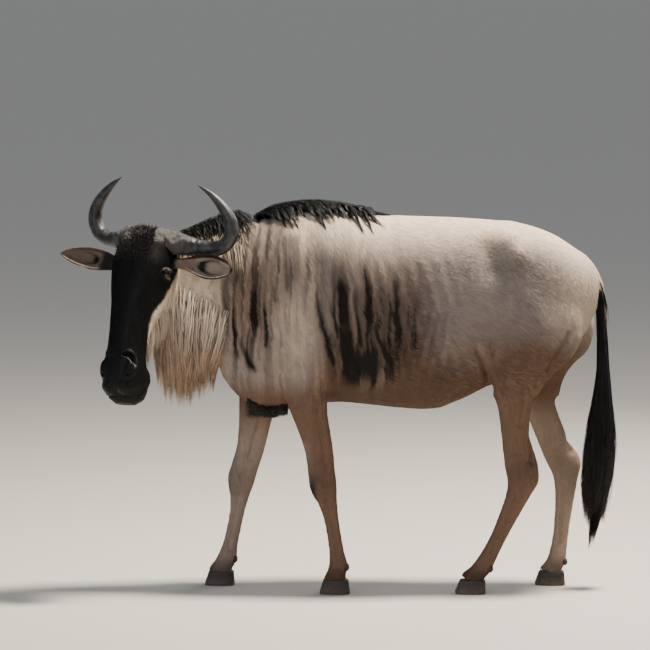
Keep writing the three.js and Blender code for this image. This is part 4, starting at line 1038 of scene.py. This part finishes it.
for name, (count, zone) in FUR.items():
    roots, normals = scatter(hide.data, count, lambda points: furred(points, zone))
    lie, length = lie_of(roots)
    lie = lie + draw.normal(0, 0.07, lie.shape)
    length = length * draw.uniform(0.75, 1.25, count)
    width = np.clip(length * 0.16, 1.3, 2.8)
    lift = draw.uniform(0.01, 0.07, count)
    tone = np.clip(0.5 + 0.17 * draw.normal(size=count), 0, 1)
    masks = markings_and_painted_light(roots + draw.normal(0, 0.0012, roots.shape), normals)
    piece = tuft_piece(name, roots, normals, lie, length, width, lift, masks, tone, short_fur)

# Mane
# Long stiff black hair, rooted in a narrow crest from the poll to the withers. It arches up and back,
# falls to both sides, and parts on the near side into seven long strands.
# A lock has five rings of three points and a tip. Its shape is its share of the full width at each ring.
RINGS = 6
LOCK_SHAPE, LOCK_THINNESS = [0.75, 1.0, 0.95, 0.78, 0.5], 0.5


def lock_piece(name, paths, normals, half, masks, tone, material):
    """Long locks: three-sided tapering bodies along paths of points, closed at the root and at the tip."""
    count, rings = paths.shape[:2]
    along = unit(np.gradient(paths, axis=1))
    across = unit(np.cross(along, normals))
    out = np.cross(across, along)
    taper = np.array(LOCK_SHAPE)[None, :, None] * half[:, None, None] * MM
    p, a, o = paths[:, :-1], across[:, :-1] * taper, out[:, :-1] * taper * LOCK_THINNESS
    body = np.stack([p + a, p + o, p - a], 2).reshape(count, -1, 3)
    points = np.concatenate([body, paths[:, -1:]], 1)
    size = points.shape[1]
    faces = [(0, 1, 2)]
    for k in range(rings - 2):
        for j in range(3):
            n = (j + 1) % 3
            faces += [(3 * k + j, 3 * k + 3 + j, 3 * k + 3 + n), (3 * k + j, 3 * k + 3 + n, 3 * k + n)]
    last = 3 * (rings - 2)
    faces += [(last + j, size - 1, last + (j + 1) % 3) for j in range(3)]
    triangles = (np.array(faces) + np.arange(count)[:, None, None] * size).reshape(-1, 3)
    step = np.repeat(np.arange(rings), 3)[:size]
    spread = np.tile([-0.5, 0, 0.5], rings)[:size]
    offset = np.stack([spread, step / (rings - 1) - 0.5], 1) * PATCH
    uvs = (unwrap(paths[:, 1])[:, None] + offset).reshape(-1, 2)
    piece = mesh_from(name, points.reshape(-1, 3), triangles, uvs)
    paint(piece.data, masks[:, step].reshape(-1, 4), np.repeat(tone, size))
    piece.data.materials.append(material)
    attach(piece, "root")
    return piece


def surface_at(stations, t, angle):
    """Places on the hide of a loft, in millimetres, and the outward normals there."""
    step = 0.01
    depth = -COAT_DEPTH["trunk"]
    place = loft_at(stations, t, angle, depth)
    after = loft_at(stations, np.minimum(t + step, 1), angle, depth)
    along = after - loft_at(stations, np.maximum(t - step, 0), angle, depth)
    around = loft_at(stations, t, angle + step, depth) - loft_at(stations, t, angle - step, depth)
    normal = unit(np.cross(along, around))
    middle = (loft_at(stations, t, 0 * angle) + loft_at(stations, t, 0 * angle + np.pi)) / 2
    return place, np.where(((place - middle) * normal).sum(1, keepdims=True) < 0, -normal, normal)


def share_at(stations, x):
    """The share of a loft's length at which its crest has a given x."""
    t = np.linspace(0, 1, 400)
    crest = loft_at(stations, t, 0 * t)[:, 0]
    return np.interp(x, crest[::-1], t[::-1])


def draped(stations, x0, x1, angle0, angle1, rise, end=3.0):
    """Paths over a loft from one crest place and angle to another, rising clear of the hide on the way."""
    u = np.linspace(0, 1, RINGS)
    t = share_at(stations, x0[:, None] + (x1 - x0)[:, None] * u**1.3)
    angle = angle0[:, None] + (angle1 - angle0)[:, None] * u
    place, normal = surface_at(stations, t.ravel(), angle.ravel())
    arch = np.sin(np.pi * np.minimum(u * 1.25 + 0.02, 1)) ** 0.8 * (1 - 0.35 * u)
    height = -6 * (u == 0) + rise[:, None] * arch + end * u
    path = place + normal * height.reshape(-1)[:, None]
    return to_frame(path).reshape(len(x0), RINGS, 3), normal.reshape(len(x0), RINGS, 3)


def plain_masks(count, black=1.0, brindle=0.0, cream=0.0, tan=0.0):
    """The same markings for each ring of each lock."""
    return np.tile(np.array([black, brindle, cream, tan]), (count, RINGS, 1))


def held(normal):
    """A lock's normal at its root, kept up to its tip."""
    return np.repeat(normal[:, None], RINGS, 1)


long_black = coat_material("long black hair", 0.7, 0.28, 0.0, bump=0.1)
# Strands of the near side: crest x at the root and at the tip, and the angle they fall through
STRANDS = [
    (-400, -333, 0.8), (-365, -304, 0.68), (-288, -240, 0.98), (-256, -180, 0.98), (-190, -136, 0.82),
    (-176, -84, 0.6), (-156, -50, 0.4),
]
SUB_STRANDS, SUB_STRAND_LOCKS = 4, 28
SHORT_STRANDS, SHORT_STRAND_LOCKS = 100, 24
paths, facing = [], []


def grow(*drape):
    """Adds draped locks to the piece in hand."""
    path, normal = draped(*drape)
    paths.append(path)
    facing.append(normal)


for x0, x1, fall in STRANDS:
    for _ in range(SUB_STRANDS):
        flank = -1
        count = SUB_STRAND_LOCKS
        root = x0 + draw.uniform(-13, 13)
        tip = x1 + draw.uniform(-15, 15)
        start = root + draw.normal(0, 3, count)
        reach = np.abs(draw.normal(0, 0.1, count))
        stop = start + (tip - start) * (1 - reach) + draw.normal(0, 1.5, count)
        angle = flank * fall * draw.uniform(0.8, 1.15) * (1 - reach)
        parting = flank * draw.uniform(0, 0.08, count)
        grow(TRUNK, start, stop, parting, angle, draw.uniform(14, 26, count), 4)
# Short strands fill the crest: two in three fall to the right side.
for k in range(SHORT_STRANDS):
    flank = -1 if k % 3 == 0 else 1
    count = SHORT_STRAND_LOCKS
    root = draw.uniform(-452, -112)
    tip = root + draw.uniform(25, 85)
    fall = flank * draw.uniform(0.12, 0.72 if flank == 1 else 0.45)
    start = root + draw.normal(0, 4, count)
    reach = np.abs(draw.normal(0, 0.2, count))
    stop = start + (tip - start) * (1 - reach) + draw.normal(0, 2, count)
    parting = flank * draw.uniform(0, 0.1, count)
    grow(TRUNK, start, stop, parting, fall * (1 - reach), draw.uniform(14, 26, count), 4)
# Standing hair on the withers, then on the neck
count = 2400
start = draw.uniform(-470, -100, count)
tall = np.interp(start, [-470, -420, -300, -180, -100], [24, 34, 31, 24, 8])
rise = tall * draw.uniform(0.3, 1.1, count)
stop = start + draw.uniform(50, 105, count)
grow(TRUNK, start, stop, draw.normal(0, 0.045, count), draw.normal(0, 0.06, count), rise)
count = 1500
start = draw.uniform(-752, -500, count)
tall = np.interp(start, [-752, -680, -600, -535, -500], [14, 24, 46, 54, 34])
rise = tall * draw.uniform(0.4, 1.1, count)
stop = start + draw.uniform(30, 70, count)
grow(NECK, start, stop, draw.normal(0, 0.12, count), draw.normal(0, 0.5, count), rise, 6)
paths, facing = np.concatenate(paths), np.concatenate(facing)
count = len(paths)
lock_piece(
    "mane", paths, facing, draw.uniform(0.6, 1.5, count), plain_masks(count),
    draw.uniform(0.2, 1.0, count), long_black,
)

# Neck fringe
# A shorter salt-and-pepper fringe of the same stiff hair, rooted on both sides of the neck's crest.
# It hangs down over the neck, black at the crest and paler below.
count = 2600
paths, facing = [], []
start = draw.uniform(-740, -500, count)
flank = np.where(draw.random(count) < 0.5, 1, -1)
angle = flank * draw.uniform(0.05, 0.75, count)
stop = start + draw.uniform(20, 45, count)
fall = angle + flank * draw.uniform(0.3, 0.7, count)
grow(NECK, start, stop, angle, fall, draw.uniform(4, 12, count), 3)
pepper = smoothstep(0.62, 0.2, np.abs(angle) + draw.normal(0, 0.16, count))
masks = plain_masks(count, 0, 0, 0.7, 0)
masks[:, :, 0] = pepper[:, None]
lock_piece(
    "neck_fringe", paths[0], facing[0], draw.uniform(0.8, 1.8, count), masks,
    draw.uniform(0.1, 0.9, count), long_black,
)

# Beard
# Long straight hair, cream above and tan-brown below, from the jaw down the throat to the chest.
# It hangs under its own weight and gathers towards its tips into a few dozen strands.
BEARD_TIPS = [
    (-800, 700), (-784, 662), (-752, 650), (-720, 606), (-656, 586), (-592, 630), (-560, 618), (-520, 640),
]


def hanging(roots, normals, lie, tip_z, clumps, pull=0.75, sway=0.1):
    """Paths that leave the hide along a lie and hang down to given heights, gathered into clumps."""
    count = len(roots)
    length = np.maximum((roots[:, 2] - tip_z) * 1.15, 15)
    down = np.array((0.0, 0.0, -1.0))
    aside = unit(np.cross(down, normals))
    drift = draw.normal(0, sway, count)[:, None]
    place = roots + normals * 1.5
    path = [roots - normals * 8, place]
    for k in range(1, RINGS - 1):
        u = k / (RINGS - 2)
        weave = aside * drift * math.sin(3.5 * u)
        heading = unit(lie * (0.55 - 0.55 * u) + down * (0.45 + 0.55 * u) + weave)
        place = place + heading * length[:, None] / (RINGS - 2)
        path.append(place)
    path = np.stack(path, 1)
    group = draw.integers(0, clumps, count)
    centre = roots[draw.integers(0, count, clumps)]
    nearest = np.argmin(np.linalg.norm(roots[:, None] - centre[None], axis=2), axis=1)
    group = np.where(draw.random(count) < 0.85, nearest, group)
    ends = [path[group == g][:, -1] if (group == g).any() else roots[:1] for g in range(clumps)]
    tips = np.stack([end.mean(0) for end in ends])
    u = np.linspace(0, 1, RINGS)[None, :, None]
    gather = (tips[group] - path[:, -1]) * np.array((1, 1, 0.25))
    return path + gather[:, None] * u**2 * pull


count = 7000
t = draw.uniform(0.24, 0.985, count)
angle = np.clip(draw.normal(0, 0.56, count), -1.35, 1.35)
place, normal = surface_at(NECK, t, np.pi + angle)
keep = (past_seam(place) > -90) & (place[:, 2] < 985 + draw.normal(0, 45, count))
place, normal = place[keep], normal[keep]
count = len(place)
level = 0 * place[:, 1]
lie = unit(np.stack([draw.uniform(-0.3, 0.1, count), level, -0.5 + level], 1) + normal * 0.6)
tip = np.interp(place[:, 0], *np.array(BEARD_TIPS, float).T) + np.abs(draw.normal(0, 45, count))
longest = np.interp(place[:, 2], [700, 860, 980], [400, 330, 110])
tip = np.maximum(tip + 120 * np.abs(normal[:, 1]) ** 1.5, place[:, 2] - longest)
path = hanging(place, normal, lie, tip, 64)
masks = np.zeros((count, RINGS, 4))
brown = smoothstep(890, 740, path[:, :, 2] + draw.normal(0, 50, count)[:, None])
masks[:, :, 2] = draw.uniform(0.5, 0.95, count)[:, None] * (0.95 - 0.6 * brown)
masks[:, :, 3] = 0.3 + 0.7 * brown
masks[:, :, 1] = (draw.random(count) < 0.3)[:, None] * (0.2 + 0.4 * brown)
# Beard hair is smoother and glossier than the coat, and its lower part has weathered to a warm brown.
beard_hair = coat_material("long pale beard hair", 0.6, 0.3, 0.2, bump=0.1, pale="#E2D3C0", warm="#A97F5E")
lock_piece(
    "beard", to_frame(path), held(normal), draw.uniform(0.9, 2.0, count), masks,
    draw.uniform(0.2, 0.85, count), beard_hair,
)

# Jaw hair
# Shorter pale hair of the beard's kind, rooted along the lower edge of both cheeks.
# It hangs a few centimetres and runs into the beard behind it.
count = 1500
t = draw.uniform(0.3, 0.64, count)
place, normal = surface_at(HEAD, t, np.pi + np.clip(draw.normal(0, 0.6, count), -1.25, 1.25))
place, normal = place @ HEAD_TURN.T + HEAD_AT, normal @ HEAD_TURN.T
lie = unit(normal * 0.35 + np.array((0.1, 0, -0.8)))
path = hanging(place, normal, lie, place[:, 2] - draw.uniform(30, 95, count), 60, 0.3)
masks = plain_masks(count, 0, 0, 0.6, 0.5)
masks[:, :, 2] = draw.uniform(0.35, 0.95, count)[:, None]
masks[:, :, 1] = ((draw.random(count) < 0.25) * 0.35)[:, None]
lock_piece(
    "jaw_hair", to_frame(path), held(normal), draw.uniform(0.8, 1.6, count), masks,
    draw.uniform(0.2, 0.85, count), beard_hair,
)

# Brisket fringe
# A short black fringe of stiff hair between the forelegs, rooted where the keel of the chest is lowest.
# It lies back along the keel and hangs one or two centimetres clear of it.
count = 1500
t = share_at(TRUNK, draw.uniform(-482, -360, count))
place, normal = surface_at(TRUNK, t, np.pi + draw.uniform(-0.42, 0.42, count))
lie = unit(normal * 0.25 + np.array((0.5, 0, -0.4)))
path = hanging(place, normal, lie, place[:, 2] - draw.uniform(10, 20, count), 60, 0.3)
lock_piece(
    "brisket_fringe", to_frame(path), held(normal), draw.uniform(1.0, 2.0, count), plain_masks(count),
    draw.uniform(0.2, 0.9, count), long_black,
)

# Forelock and lashes
# Dark curls rooted between the horns and down the forehead, lying outwards from a swirl, and stiff black
# lashes in the upper lid of each eye, which reach out and droop.
count = 1800
down = -12 + 100 * draw.beta(1, 1.8, count)
across = draw.uniform(-1, 1, count) * np.interp(down, [-12, 20, 96], [34, 60, 48])
rows = np.array(HEAD_RINGS, float)
front = np.interp(down, rows[:, 0], rows[:, 1]) + 3
wide = np.interp(down, rows[:, 0], rows[:, 3])
bend = 1 - (1 - np.minimum(np.abs(across) / wide, 0.98) ** 2.5) ** 0.4
roots = np.stack([front + bend * 80, across, -down], 1)
normal = unit(np.stack([-1 + 0 * down, across / wide * 0.9, smoothstep(20, -12, down)], 1))
swirl = unit(np.stack([0 * down, across + 0.1, 50 - down + 0.01], 1))
lie = unit(swirl + normal * 0.05 + draw.normal(0, 0.15, (count, 3)))
u = np.linspace(0, 1, RINGS)[None, :, None]
reach = (draw.uniform(9, 18, count) + 10 * smoothstep(10, -10, down))[:, None, None]
curl = draw.normal(0, 0.35, (count, 1, 3))
path = roots[:, None] - normal[:, None] * 5 * (1 - u) + lie[:, None] * reach * u
path = path + (normal[:, None] * np.sin(np.pi * u) * 0.1 + curl * u**2 * 0.25) * reach
masks = plain_masks(count, tan=0.9)
masks[:, :, 0] = np.clip(draw.normal(0.97, 0.03, count), 0.85, 1)[:, None]
lock_piece(
    "forelock", head_to_frame(path.reshape(-1, 3)).reshape(path.shape), held(normal @ HEAD_TURN.T),
    draw.uniform(0.8, 1.7, count), masks, draw.uniform(0.3, 1.0, count), long_black,
)
paths, facing = [], []
for side in (-1, 1):
    count = 150
    turn = draw.uniform(-1.15, 1.15, count)
    brow = side * (EYE_SIDE + 13)
    ring = np.stack([EYE_BACK + 25 * np.sin(turn), 0 * turn + brow, -EYE_DOWN + 15 * np.cos(turn) + 2], 1)
    ring[:, 1] += side * draw.uniform(-4, 3, count)
    out = unit(np.stack([0.5 * np.sin(turn) - 0.5, 0 * turn + side * 0.8, 0.25 * np.cos(turn)], 1))
    reach = draw.uniform(8, 14, count)[:, None, None]
    droop = np.array((-0.1, 0.1 * side, -0.75))
    out_of_lid = out[:, None] * (reach * u - 3 * (1 - u))
    paths.append(ring[:, None] + out_of_lid + droop * reach * u**2)
    facing.append(out + (0, 0, 1))
path, normal = np.concatenate(paths), unit(np.concatenate(facing))
count = len(path)
lock_piece(
    "lashes", head_to_frame(path.reshape(-1, 3)).reshape(path.shape), held(normal @ HEAD_TURN.T),
    draw.uniform(0.4, 0.8, count), plain_masks(count, 0.96, 0, 0.35, 0.2), draw.uniform(0.3, 1.0, count),
    long_black,
)

# Tail
# A switch of long straight black hair round the lower dock, nearly down to the fetlocks, with a fringe
# up the dock's front. It gathers into strands that end at different heights.
TUFT_HEIGHTS = (122, 227, 355, 451, 547, 675, 820, 960)
TUFT_RADII = (7, 26, 50, 52, 43, 27, 18, 12)
TUFT_END = (606, 122)
rows, places = loft_places(DOCK)
dock_middle = np.stack([(rows[:, 0] + rows[:, 2]) / 2, (rows[:, 1] + rows[:, 3]) / 2], 1)[::-1]


def tail_axis(z):
    """The x of the tail's middle at given heights: the dock's, and below it a line to the switch's end."""
    x = np.interp(z, dock_middle[:, 1], dock_middle[:, 0])
    fall = np.clip((410 - z) / (410 - TUFT_END[1]), 0, 1)
    return x + (TUFT_END[0] - x) * fall


STRAY_CLUMP = 5
count = 5600
clumps = 30
group = draw.integers(0, clumps, count)
clump_turn = draw.uniform(0, 2 * np.pi, clumps)
clump_tip = np.sort(draw.triangular(126, 260, 520, clumps))
clump_tip[:3] = (124, 132, 150)
top = 930 - 520 * draw.beta(1.3, 1.6, count)
tip = np.minimum(clump_tip[group] + np.abs(draw.normal(0, 40, count)), top - 150)
turn = clump_turn[group] + draw.normal(0, 0.45, count)
core = np.sqrt(draw.uniform(0.15, 1, count))
u = np.linspace(0, 1, RINGS)
z = top[:, None] + (tip - top)[:, None] * u
radius = 1.15 * np.interp(z, TUFT_HEIGHTS, TUFT_RADII) * (0.55 + 0.45 * u) * core[:, None]
bearing = turn[:, None] + (clump_turn[group] - turn)[:, None] * u**2 * 0.7
bearing = bearing + draw.normal(0, 0.12, count)[:, None] * u
path = np.stack([tail_axis(z) + radius * np.cos(bearing), radius * np.sin(bearing), z], 2)
path[:, :, 0] += 30 * (group == STRAY_CLUMP)[:, None] * u**3
normal = np.stack([np.cos(bearing), np.sin(bearing), 0 * z], 2)
tones = draw.uniform(0.1, 0.8, count)
switch = lock_piece(
    "tail_switch", to_frame(path), normal, draw.uniform(1.1, 2.6, count), plain_masks(count), tones,
    long_black,
)
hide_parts("tail_tuft")
count = 1300
top = draw.uniform(720, 1012, count)
turn = np.pi + draw.normal(0, 0.75, count)
z = top[:, None] - draw.uniform(80, 150, count)[:, None] * u
radius = 11 + 5 * np.sin(np.pi * u)[None] + draw.uniform(0, 5, count)[:, None]
path = np.stack([tail_axis(z) + radius * np.cos(turn)[:, None], radius * np.sin(turn)[:, None], z], 2)
normal = np.stack([np.cos(turn), np.sin(turn), 0 * turn], 1)
lock_piece(
    "tail_fringe", to_frame(path), held(normal), draw.uniform(1.0, 2.0, count), plain_masks(count),
    draw.uniform(0.1, 0.8, count), long_black,
)

# Horns
# Keratin sheaths on bone: thick, rough bosses that nearly meet on the poll, then smooth, dark tips.
# Each is swept along its own curve, and its base is knobbed with growth rings.
HORN_CURVE = [
    (58, 8, -40), (70, 40, -16), (91, 68, -8), (119, 107, -8), (142, 150, -9), (154, 195, -5),
    (153, 231, 10), (144, 252, 46), (131, 247, 86), (115, 219, 127), (98, 181, 160), (78, 139, 183),
]
HORN_RADIUS = (35, 39, 36, 30, 25.5, 23.5, 22.5, 20.5, 16, 9.5, 0.8)
# Side and spread of each horn, and how far each stays from the middle of the poll
HORN_SPREAD = {"left": (-1, 1.06), "right": (1, 0.965)}
HORN_PARTING = 3
HORN_STEPS, HORN_SIDES = 200, 40
HORN_TURN = turned(HORN_ROLL)


def horn_material():
    """Weathered keratin: grey-black with a low gloss at the tips, dull and scratched on the bosses."""
    material, tree = new_material("weathered horn")
    place = node(tree, "ShaderNodeTexCoord").outputs["Object"]
    worn = node(tree, "ShaderNodeAttribute", attribute_name="boss").outputs["Fac"]
    clouds = node(tree, "ShaderNodeTexNoise", {"Scale": 1 / (22 * MM), "Detail": 5.0, "Vector": place})
    scratch = node(tree, "ShaderNodeTexNoise", {"Scale": 1 / (2.5 * MM), "Detail": 4.0, "Vector": place})
    pale = node(
        tree, "ShaderNodeMapRange", {"From Min": 0.42, "From Max": 0.66, "Value": clouds.outputs["Fac"]}
    )
    smooth_tints = {0: pale.outputs[0], 6: linear("#141315"), 7: linear("#3B3A3F")}
    rough_tints = {0: scratch.outputs["Fac"], 6: linear("#1B1918"), 7: linear("#5A5651")}
    smooth = node(tree, "ShaderNodeMix", smooth_tints, data_type="RGBA")
    rough = node(tree, "ShaderNodeMix", rough_tints, data_type="RGBA")
    both = {0: worn, 6: smooth.outputs[2], 7: rough.outputs[2]}
    colour = node(tree, "ShaderNodeMix", both, data_type="RGBA")
    relief = node(
        tree, "ShaderNodeBump", {"Strength": 0.35, "Distance": 1.5 * MM, "Height": scratch.outputs["Fac"]}
    )
    gloss = node(tree, "ShaderNodeMapRange", {"To Min": 0.42, "To Max": 0.85, "Value": worn})
    shader = node(
        tree,
        "ShaderNodeBsdfPrincipled",
        {
            "Specular IOR Level": 0.5, "Base Color": colour.outputs[2], "Roughness": gloss.outputs[0],
            "Normal": relief.outputs["Normal"],
        },
    )
    node(tree, "ShaderNodeOutputMaterial", {"Surface": shader.outputs[0]})
    return material


def face_outwards(piece, merge=0.0):
    """Turns every face of a closed shape outwards, after any points closer than the merge are joined."""
    pick(piece)
    bpy.ops.object.mode_set(mode="EDIT")
    bpy.ops.mesh.select_all(action="SELECT")
    if merge:
        bpy.ops.mesh.remove_doubles(threshold=merge)
    bpy.ops.mesh.normals_make_consistent(inside=False)
    bpy.ops.object.mode_set(mode="OBJECT")


horn_finish = horn_material()
for word, (side, spread) in HORN_SPREAD.items():
    knots = np.array(HORN_CURVE, float) * (1, side * spread, 1)
    places = np.concatenate([[0], np.cumsum(np.linalg.norm(np.diff(knots, axis=0), axis=1))])
    t = np.linspace(0, 1, HORN_STEPS)
    middle = smooth_at(places, knots, t * places[-1])
    radius = smooth_at(np.linspace(0, 1, len(HORN_RADIUS)), np.array(HORN_RADIUS)[:, None], t)[:, 0]
    along = unit(np.gradient(middle, axis=0))
    normal = unit(np.cross(along[0], (0, 0, 1)))
    rings = []
    around = np.arange(HORN_SIDES) / HORN_SIDES * 2 * np.pi
    for k in range(HORN_STEPS):
        normal = unit(normal - along[k] * (normal @ along[k]))
        other = np.cross(along[k], normal)
        boss = float(smoothstep(0.42, 0.12, t[k]))
        ring = normal * np.cos(around)[:, None] + other * np.sin(around)[:, None]
        skin = middle[k] + ring * radius[k]
        knob = 12 * (noise(skin / 16, 51) - 0.5) + 9 * (noise(skin / 7, 52) - 0.5)
        growth = 0.5 * math.sin(t[k] * 150) * float(smoothstep(0.62, 0.3, t[k]))
        rings.append(middle[k] + ring * np.maximum(radius[k] + boss * knob + growth, 0.5)[:, None])
    rings = np.array(rings)
    rings[:, :, 1] = side * np.maximum(side * rings[:, :, 1], HORN_PARTING)
    placed = head_to_frame(rings.reshape(-1, 3), HORN_TURN).reshape(rings.shape)
    sheath = ring_mesh("horn_sheath_" + word, placed)
    face_outwards(sheath, 0.1 * MM)
    bpy.ops.object.shade_smooth()
    aside = np.abs(to_head(co_of(sheath.data), HORN_TURN)[:, 1])
    worn = smoothstep(165, 75, aside)
    layer = sheath.data.attributes.new("boss", "FLOAT", "POINT")
    layer.data.foreach_set("value", worn.astype(np.float32))
    sheath.data.materials.append(horn_finish)
    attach(sheath, "root")
    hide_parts("horn_" + word)

# Eyes
# Large dark eyes behind clear, wet corneas, set deep between the lids.
# Each is one ball with the cornea as a clear coat over it, held in its socket in the hide.
def eye_material():
    """A wet cornea over a dark iris: nearly black, with a thin clear coat that gives a sharp highlight."""
    material, tree = new_material("wet dark eye")
    place = node(tree, "ShaderNodeTexCoord").outputs["Object"]
    mottle = node(tree, "ShaderNodeTexNoise", {"Scale": 1 / (3 * MM), "Vector": place})
    browns = {0: mottle.outputs["Fac"], 6: linear("#070403"), 7: linear("#160D09")}
    colour = node(tree, "ShaderNodeMix", browns, data_type="RGBA")
    shader = node(
        tree,
        "ShaderNodeBsdfPrincipled",
        {"Roughness": 0.12, "Coat Weight": 0.25, "Coat Roughness": 0.05, "Base Color": colour.outputs[2]},
    )
    node(tree, "ShaderNodeOutputMaterial", {"Surface": shader.outputs[0]})
    return material


eye_finish = eye_material()
for word, side in (("left", -1), ("right", 1)):
    radius = EYE_RADIUS - 0.5
    eyeball = ball((EYE_BACK, side * EYE_SIDE, -EYE_DOWN), (radius, radius, radius))
    eyeball.name = "eyeball_" + word
    bpy.ops.object.shade_smooth()
    eyeball.data.materials.append(eye_finish)
    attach(eyeball, "root")
    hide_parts("eye_" + word)

# Hooves
# Two claws of horn to a foot, with growth rings parallel to the coronet, scuffed and dusty at the ground.
# The dewclaws behind the fetlocks are small plugs of the same horn.
SOLE_TOP, CLEFT = 44, 5
CLAW = {"sole": 98, "top": 80, "sole_half": 19, "top_half": 15.5}
CLAW_LEVELS, CLAW_BEVEL = (0, 0.06, 0.4, 0.75, 0.94, 1), 2.5
TOES = {"front_left": -258, "front_right": -630, "hind_left": 174, "hind_right": 438}
# Dewclaws: half sizes, and how far behind, beside and below the middle of the fetlock they sit
SPUR_SIZE, SPUR_BEHIND, SPUR_ASIDE, SPUR_BELOW = (9, 8, 13), 26, 13, 4


def hoof_material():
    """Hoof horn: dark and fairly dull, with faint growth rings and dust near the ground."""
    material, tree = new_material("hoof horn")
    place = node(tree, "ShaderNodeTexCoord").outputs["Object"]
    height = node(tree, "ShaderNodeSeparateXYZ", {"Vector": place})
    # A wave's bands lie 2 pi / 20 of its scale's inverse apart: 12.6 mm, coarser than real rings, to show.
    rings = node(
        tree, "ShaderNodeTexWave", {"Scale": 1 / (40 * MM), "Distortion": 1.5, "Vector": place},
        bands_direction="Z",
    )
    dirt = node(tree, "ShaderNodeTexNoise", {"Scale": 1 / (12 * MM), "Detail": 5.0, "Vector": place})
    low = node(
        tree,
        "ShaderNodeMapRange",
        {"From Min": 0.0, "From Max": 30 * MM, "To Min": 0.55, "To Max": 0.1, "Value": height.outputs["Z"]},
    )
    dusty = node(tree, "ShaderNodeMath", {0: low.outputs[0], 1: dirt.outputs["Fac"]}, operation="MULTIPLY")
    browns = {0: dusty.outputs[0], 6: linear("#262120"), 7: linear("#8D7A63")}
    colour = node(tree, "ShaderNodeMix", browns, data_type="RGBA")
    relief = node(
        tree, "ShaderNodeBump", {"Strength": 0.4, "Distance": 0.8 * MM, "Height": rings.outputs["Fac"]}
    )
    shader = node(
        tree,
        "ShaderNodeBsdfPrincipled",
        {
            "Roughness": 0.55, "Specular IOR Level": 0.4, "Base Color": colour.outputs[2],
            "Normal": relief.outputs["Normal"],
        },
    )
    node(tree, "ShaderNodeOutputMaterial", {"Surface": shader.outputs[0]})
    return material


hoof_finish = hoof_material()
for leg, (_, joints) in LEGS.items():
    outward = math.copysign(1, joints[0][1])
    coronet, fetlock = joints[4], joints[3]
    for word, side in (("outer", outward), ("inner", -outward)):
        stations = []
        for share in CLAW_LEVELS:
            inset = CLAW_BEVEL * (share in (0, 1))
            nose = TOES[leg] + (coronet[0] - CLAW["top"] / 2 - TOES[leg]) * share + inset
            width = CLAW["sole_half"] + (CLAW["top_half"] - CLAW["sole_half"]) * share
            long = CLAW["sole"] + (CLAW["top"] - CLAW["sole"]) * share - 2 * inset
            middle = coronet[1] + side * (CLEFT / 2 + width)
            height = share * SOLE_TOP
            stations.append((nose, height, nose + long, height, middle, width - inset / 2, 2.4, -0.22))
        claw = ring_mesh("claw_" + leg + "_" + word, to_frame(loft_grid(stations, 14, 48)))
        claw.data.materials.append(hoof_finish)
        face_outwards(claw)
        bpy.ops.object.shade_smooth_by_angle(angle=math.radians(50))
        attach(claw, "root")
        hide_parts("hoof_" + leg + "_" + word)

        deselect()
        bpy.ops.mesh.primitive_uv_sphere_add(segments=24, ring_count=14, radius=1)
        spur = bpy.context.object
        spur.name = "spur_" + leg + "_" + word
        shape = co_of(spur.data)
        shape = shape * SPUR_SIZE * (1 - 0.25 * (shape[:, 2:] < 0) * -shape[:, 2:])
        place = np.array(fetlock) + (SPUR_BEHIND, side * SPUR_ASIDE, -SPUR_BELOW)
        spur.data.vertices.foreach_set("co", to_frame(shape + place).ravel())
        bpy.ops.object.shade_smooth()
        spur.data.materials.append(hoof_finish)
        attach(spur, "root")
        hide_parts("dewclaw_" + leg + "_" + word)

# Stage
# A plain pale floor and soft studio lights: a key high above the animal, a fill in front, a rim behind.
# The camera stands 15.5 m off on the animal's left, a little above it.
FLOOR_SIZE = 4000
deselect()
bpy.ops.mesh.primitive_plane_add(size=FLOOR_SIZE, location=(0, 0, 0))
floor = bpy.context.object
floor.name = "floor"
material, tree = new_material("matt pale studio floor")
shader = node(tree, "ShaderNodeBsdfPrincipled", {"Base Color": linear("#C3BFB8"), "Roughness": 0.9})
node(tree, "ShaderNodeOutputMaterial", {"Surface": shader.outputs[0]})
floor.data.materials.append(material)

world = bpy.data.worlds.new("studio")
bpy.context.scene.world = world
world.use_nodes = True
sky = world.node_tree.nodes["Background"]
sky.inputs["Color"].default_value = linear("#DDE2EA")
sky.inputs["Strength"].default_value = 0.5


def soft_light(name, place, size, power, colour):
    """A square area light, in metres and watts, turned towards the middle of the animal."""
    deselect()
    bpy.ops.object.light_add(type="AREA", location=place)
    lamp = bpy.context.object
    lamp.name = name
    lamp.data.size = size
    lamp.data.energy = power
    lamp.data.color = linear(colour)[:3]
    lamp.rotation_euler = (Vector((0, 0, 0.8)) - Vector(place)).to_track_quat("-Z", "Y").to_euler()


soft_light("high key", (1.5, 0.1, 5.2), 0.9, 860, "#FFF3E2")
soft_light("front fill", (-3.2, -5.0, 2.4), 3.0, 70, "#F2F4FF")
soft_light("back rim", (2.6, 4.0, 2.6), 2.0, 90, "#FFF6EA")

# The camera looks along +Y, 5 degrees down, and its frame is 2.08 m wide at the animal.
CAMERA_RANGE, FRAME_WIDTH, SENSOR = 15.5, 2.08, 36.0
CAMERA_TILT = math.radians(5)
aim = Vector((-0.240, 0, 0.851)) + SHIFT
bpy.ops.object.camera_add()
camera = bpy.context.object
back = Vector((0, -math.cos(CAMERA_TILT), math.sin(CAMERA_TILT)))
camera.location = aim + back * CAMERA_RANGE
camera.rotation_euler = (-back).to_track_quat("-Z", "Y").to_euler()
camera.data.sensor_width = SENSOR
camera.data.lens = SENSOR * CAMERA_RANGE / FRAME_WIDTH
camera.data.clip_end = FLOOR_SIZE
bpy.context.scene.camera = camera
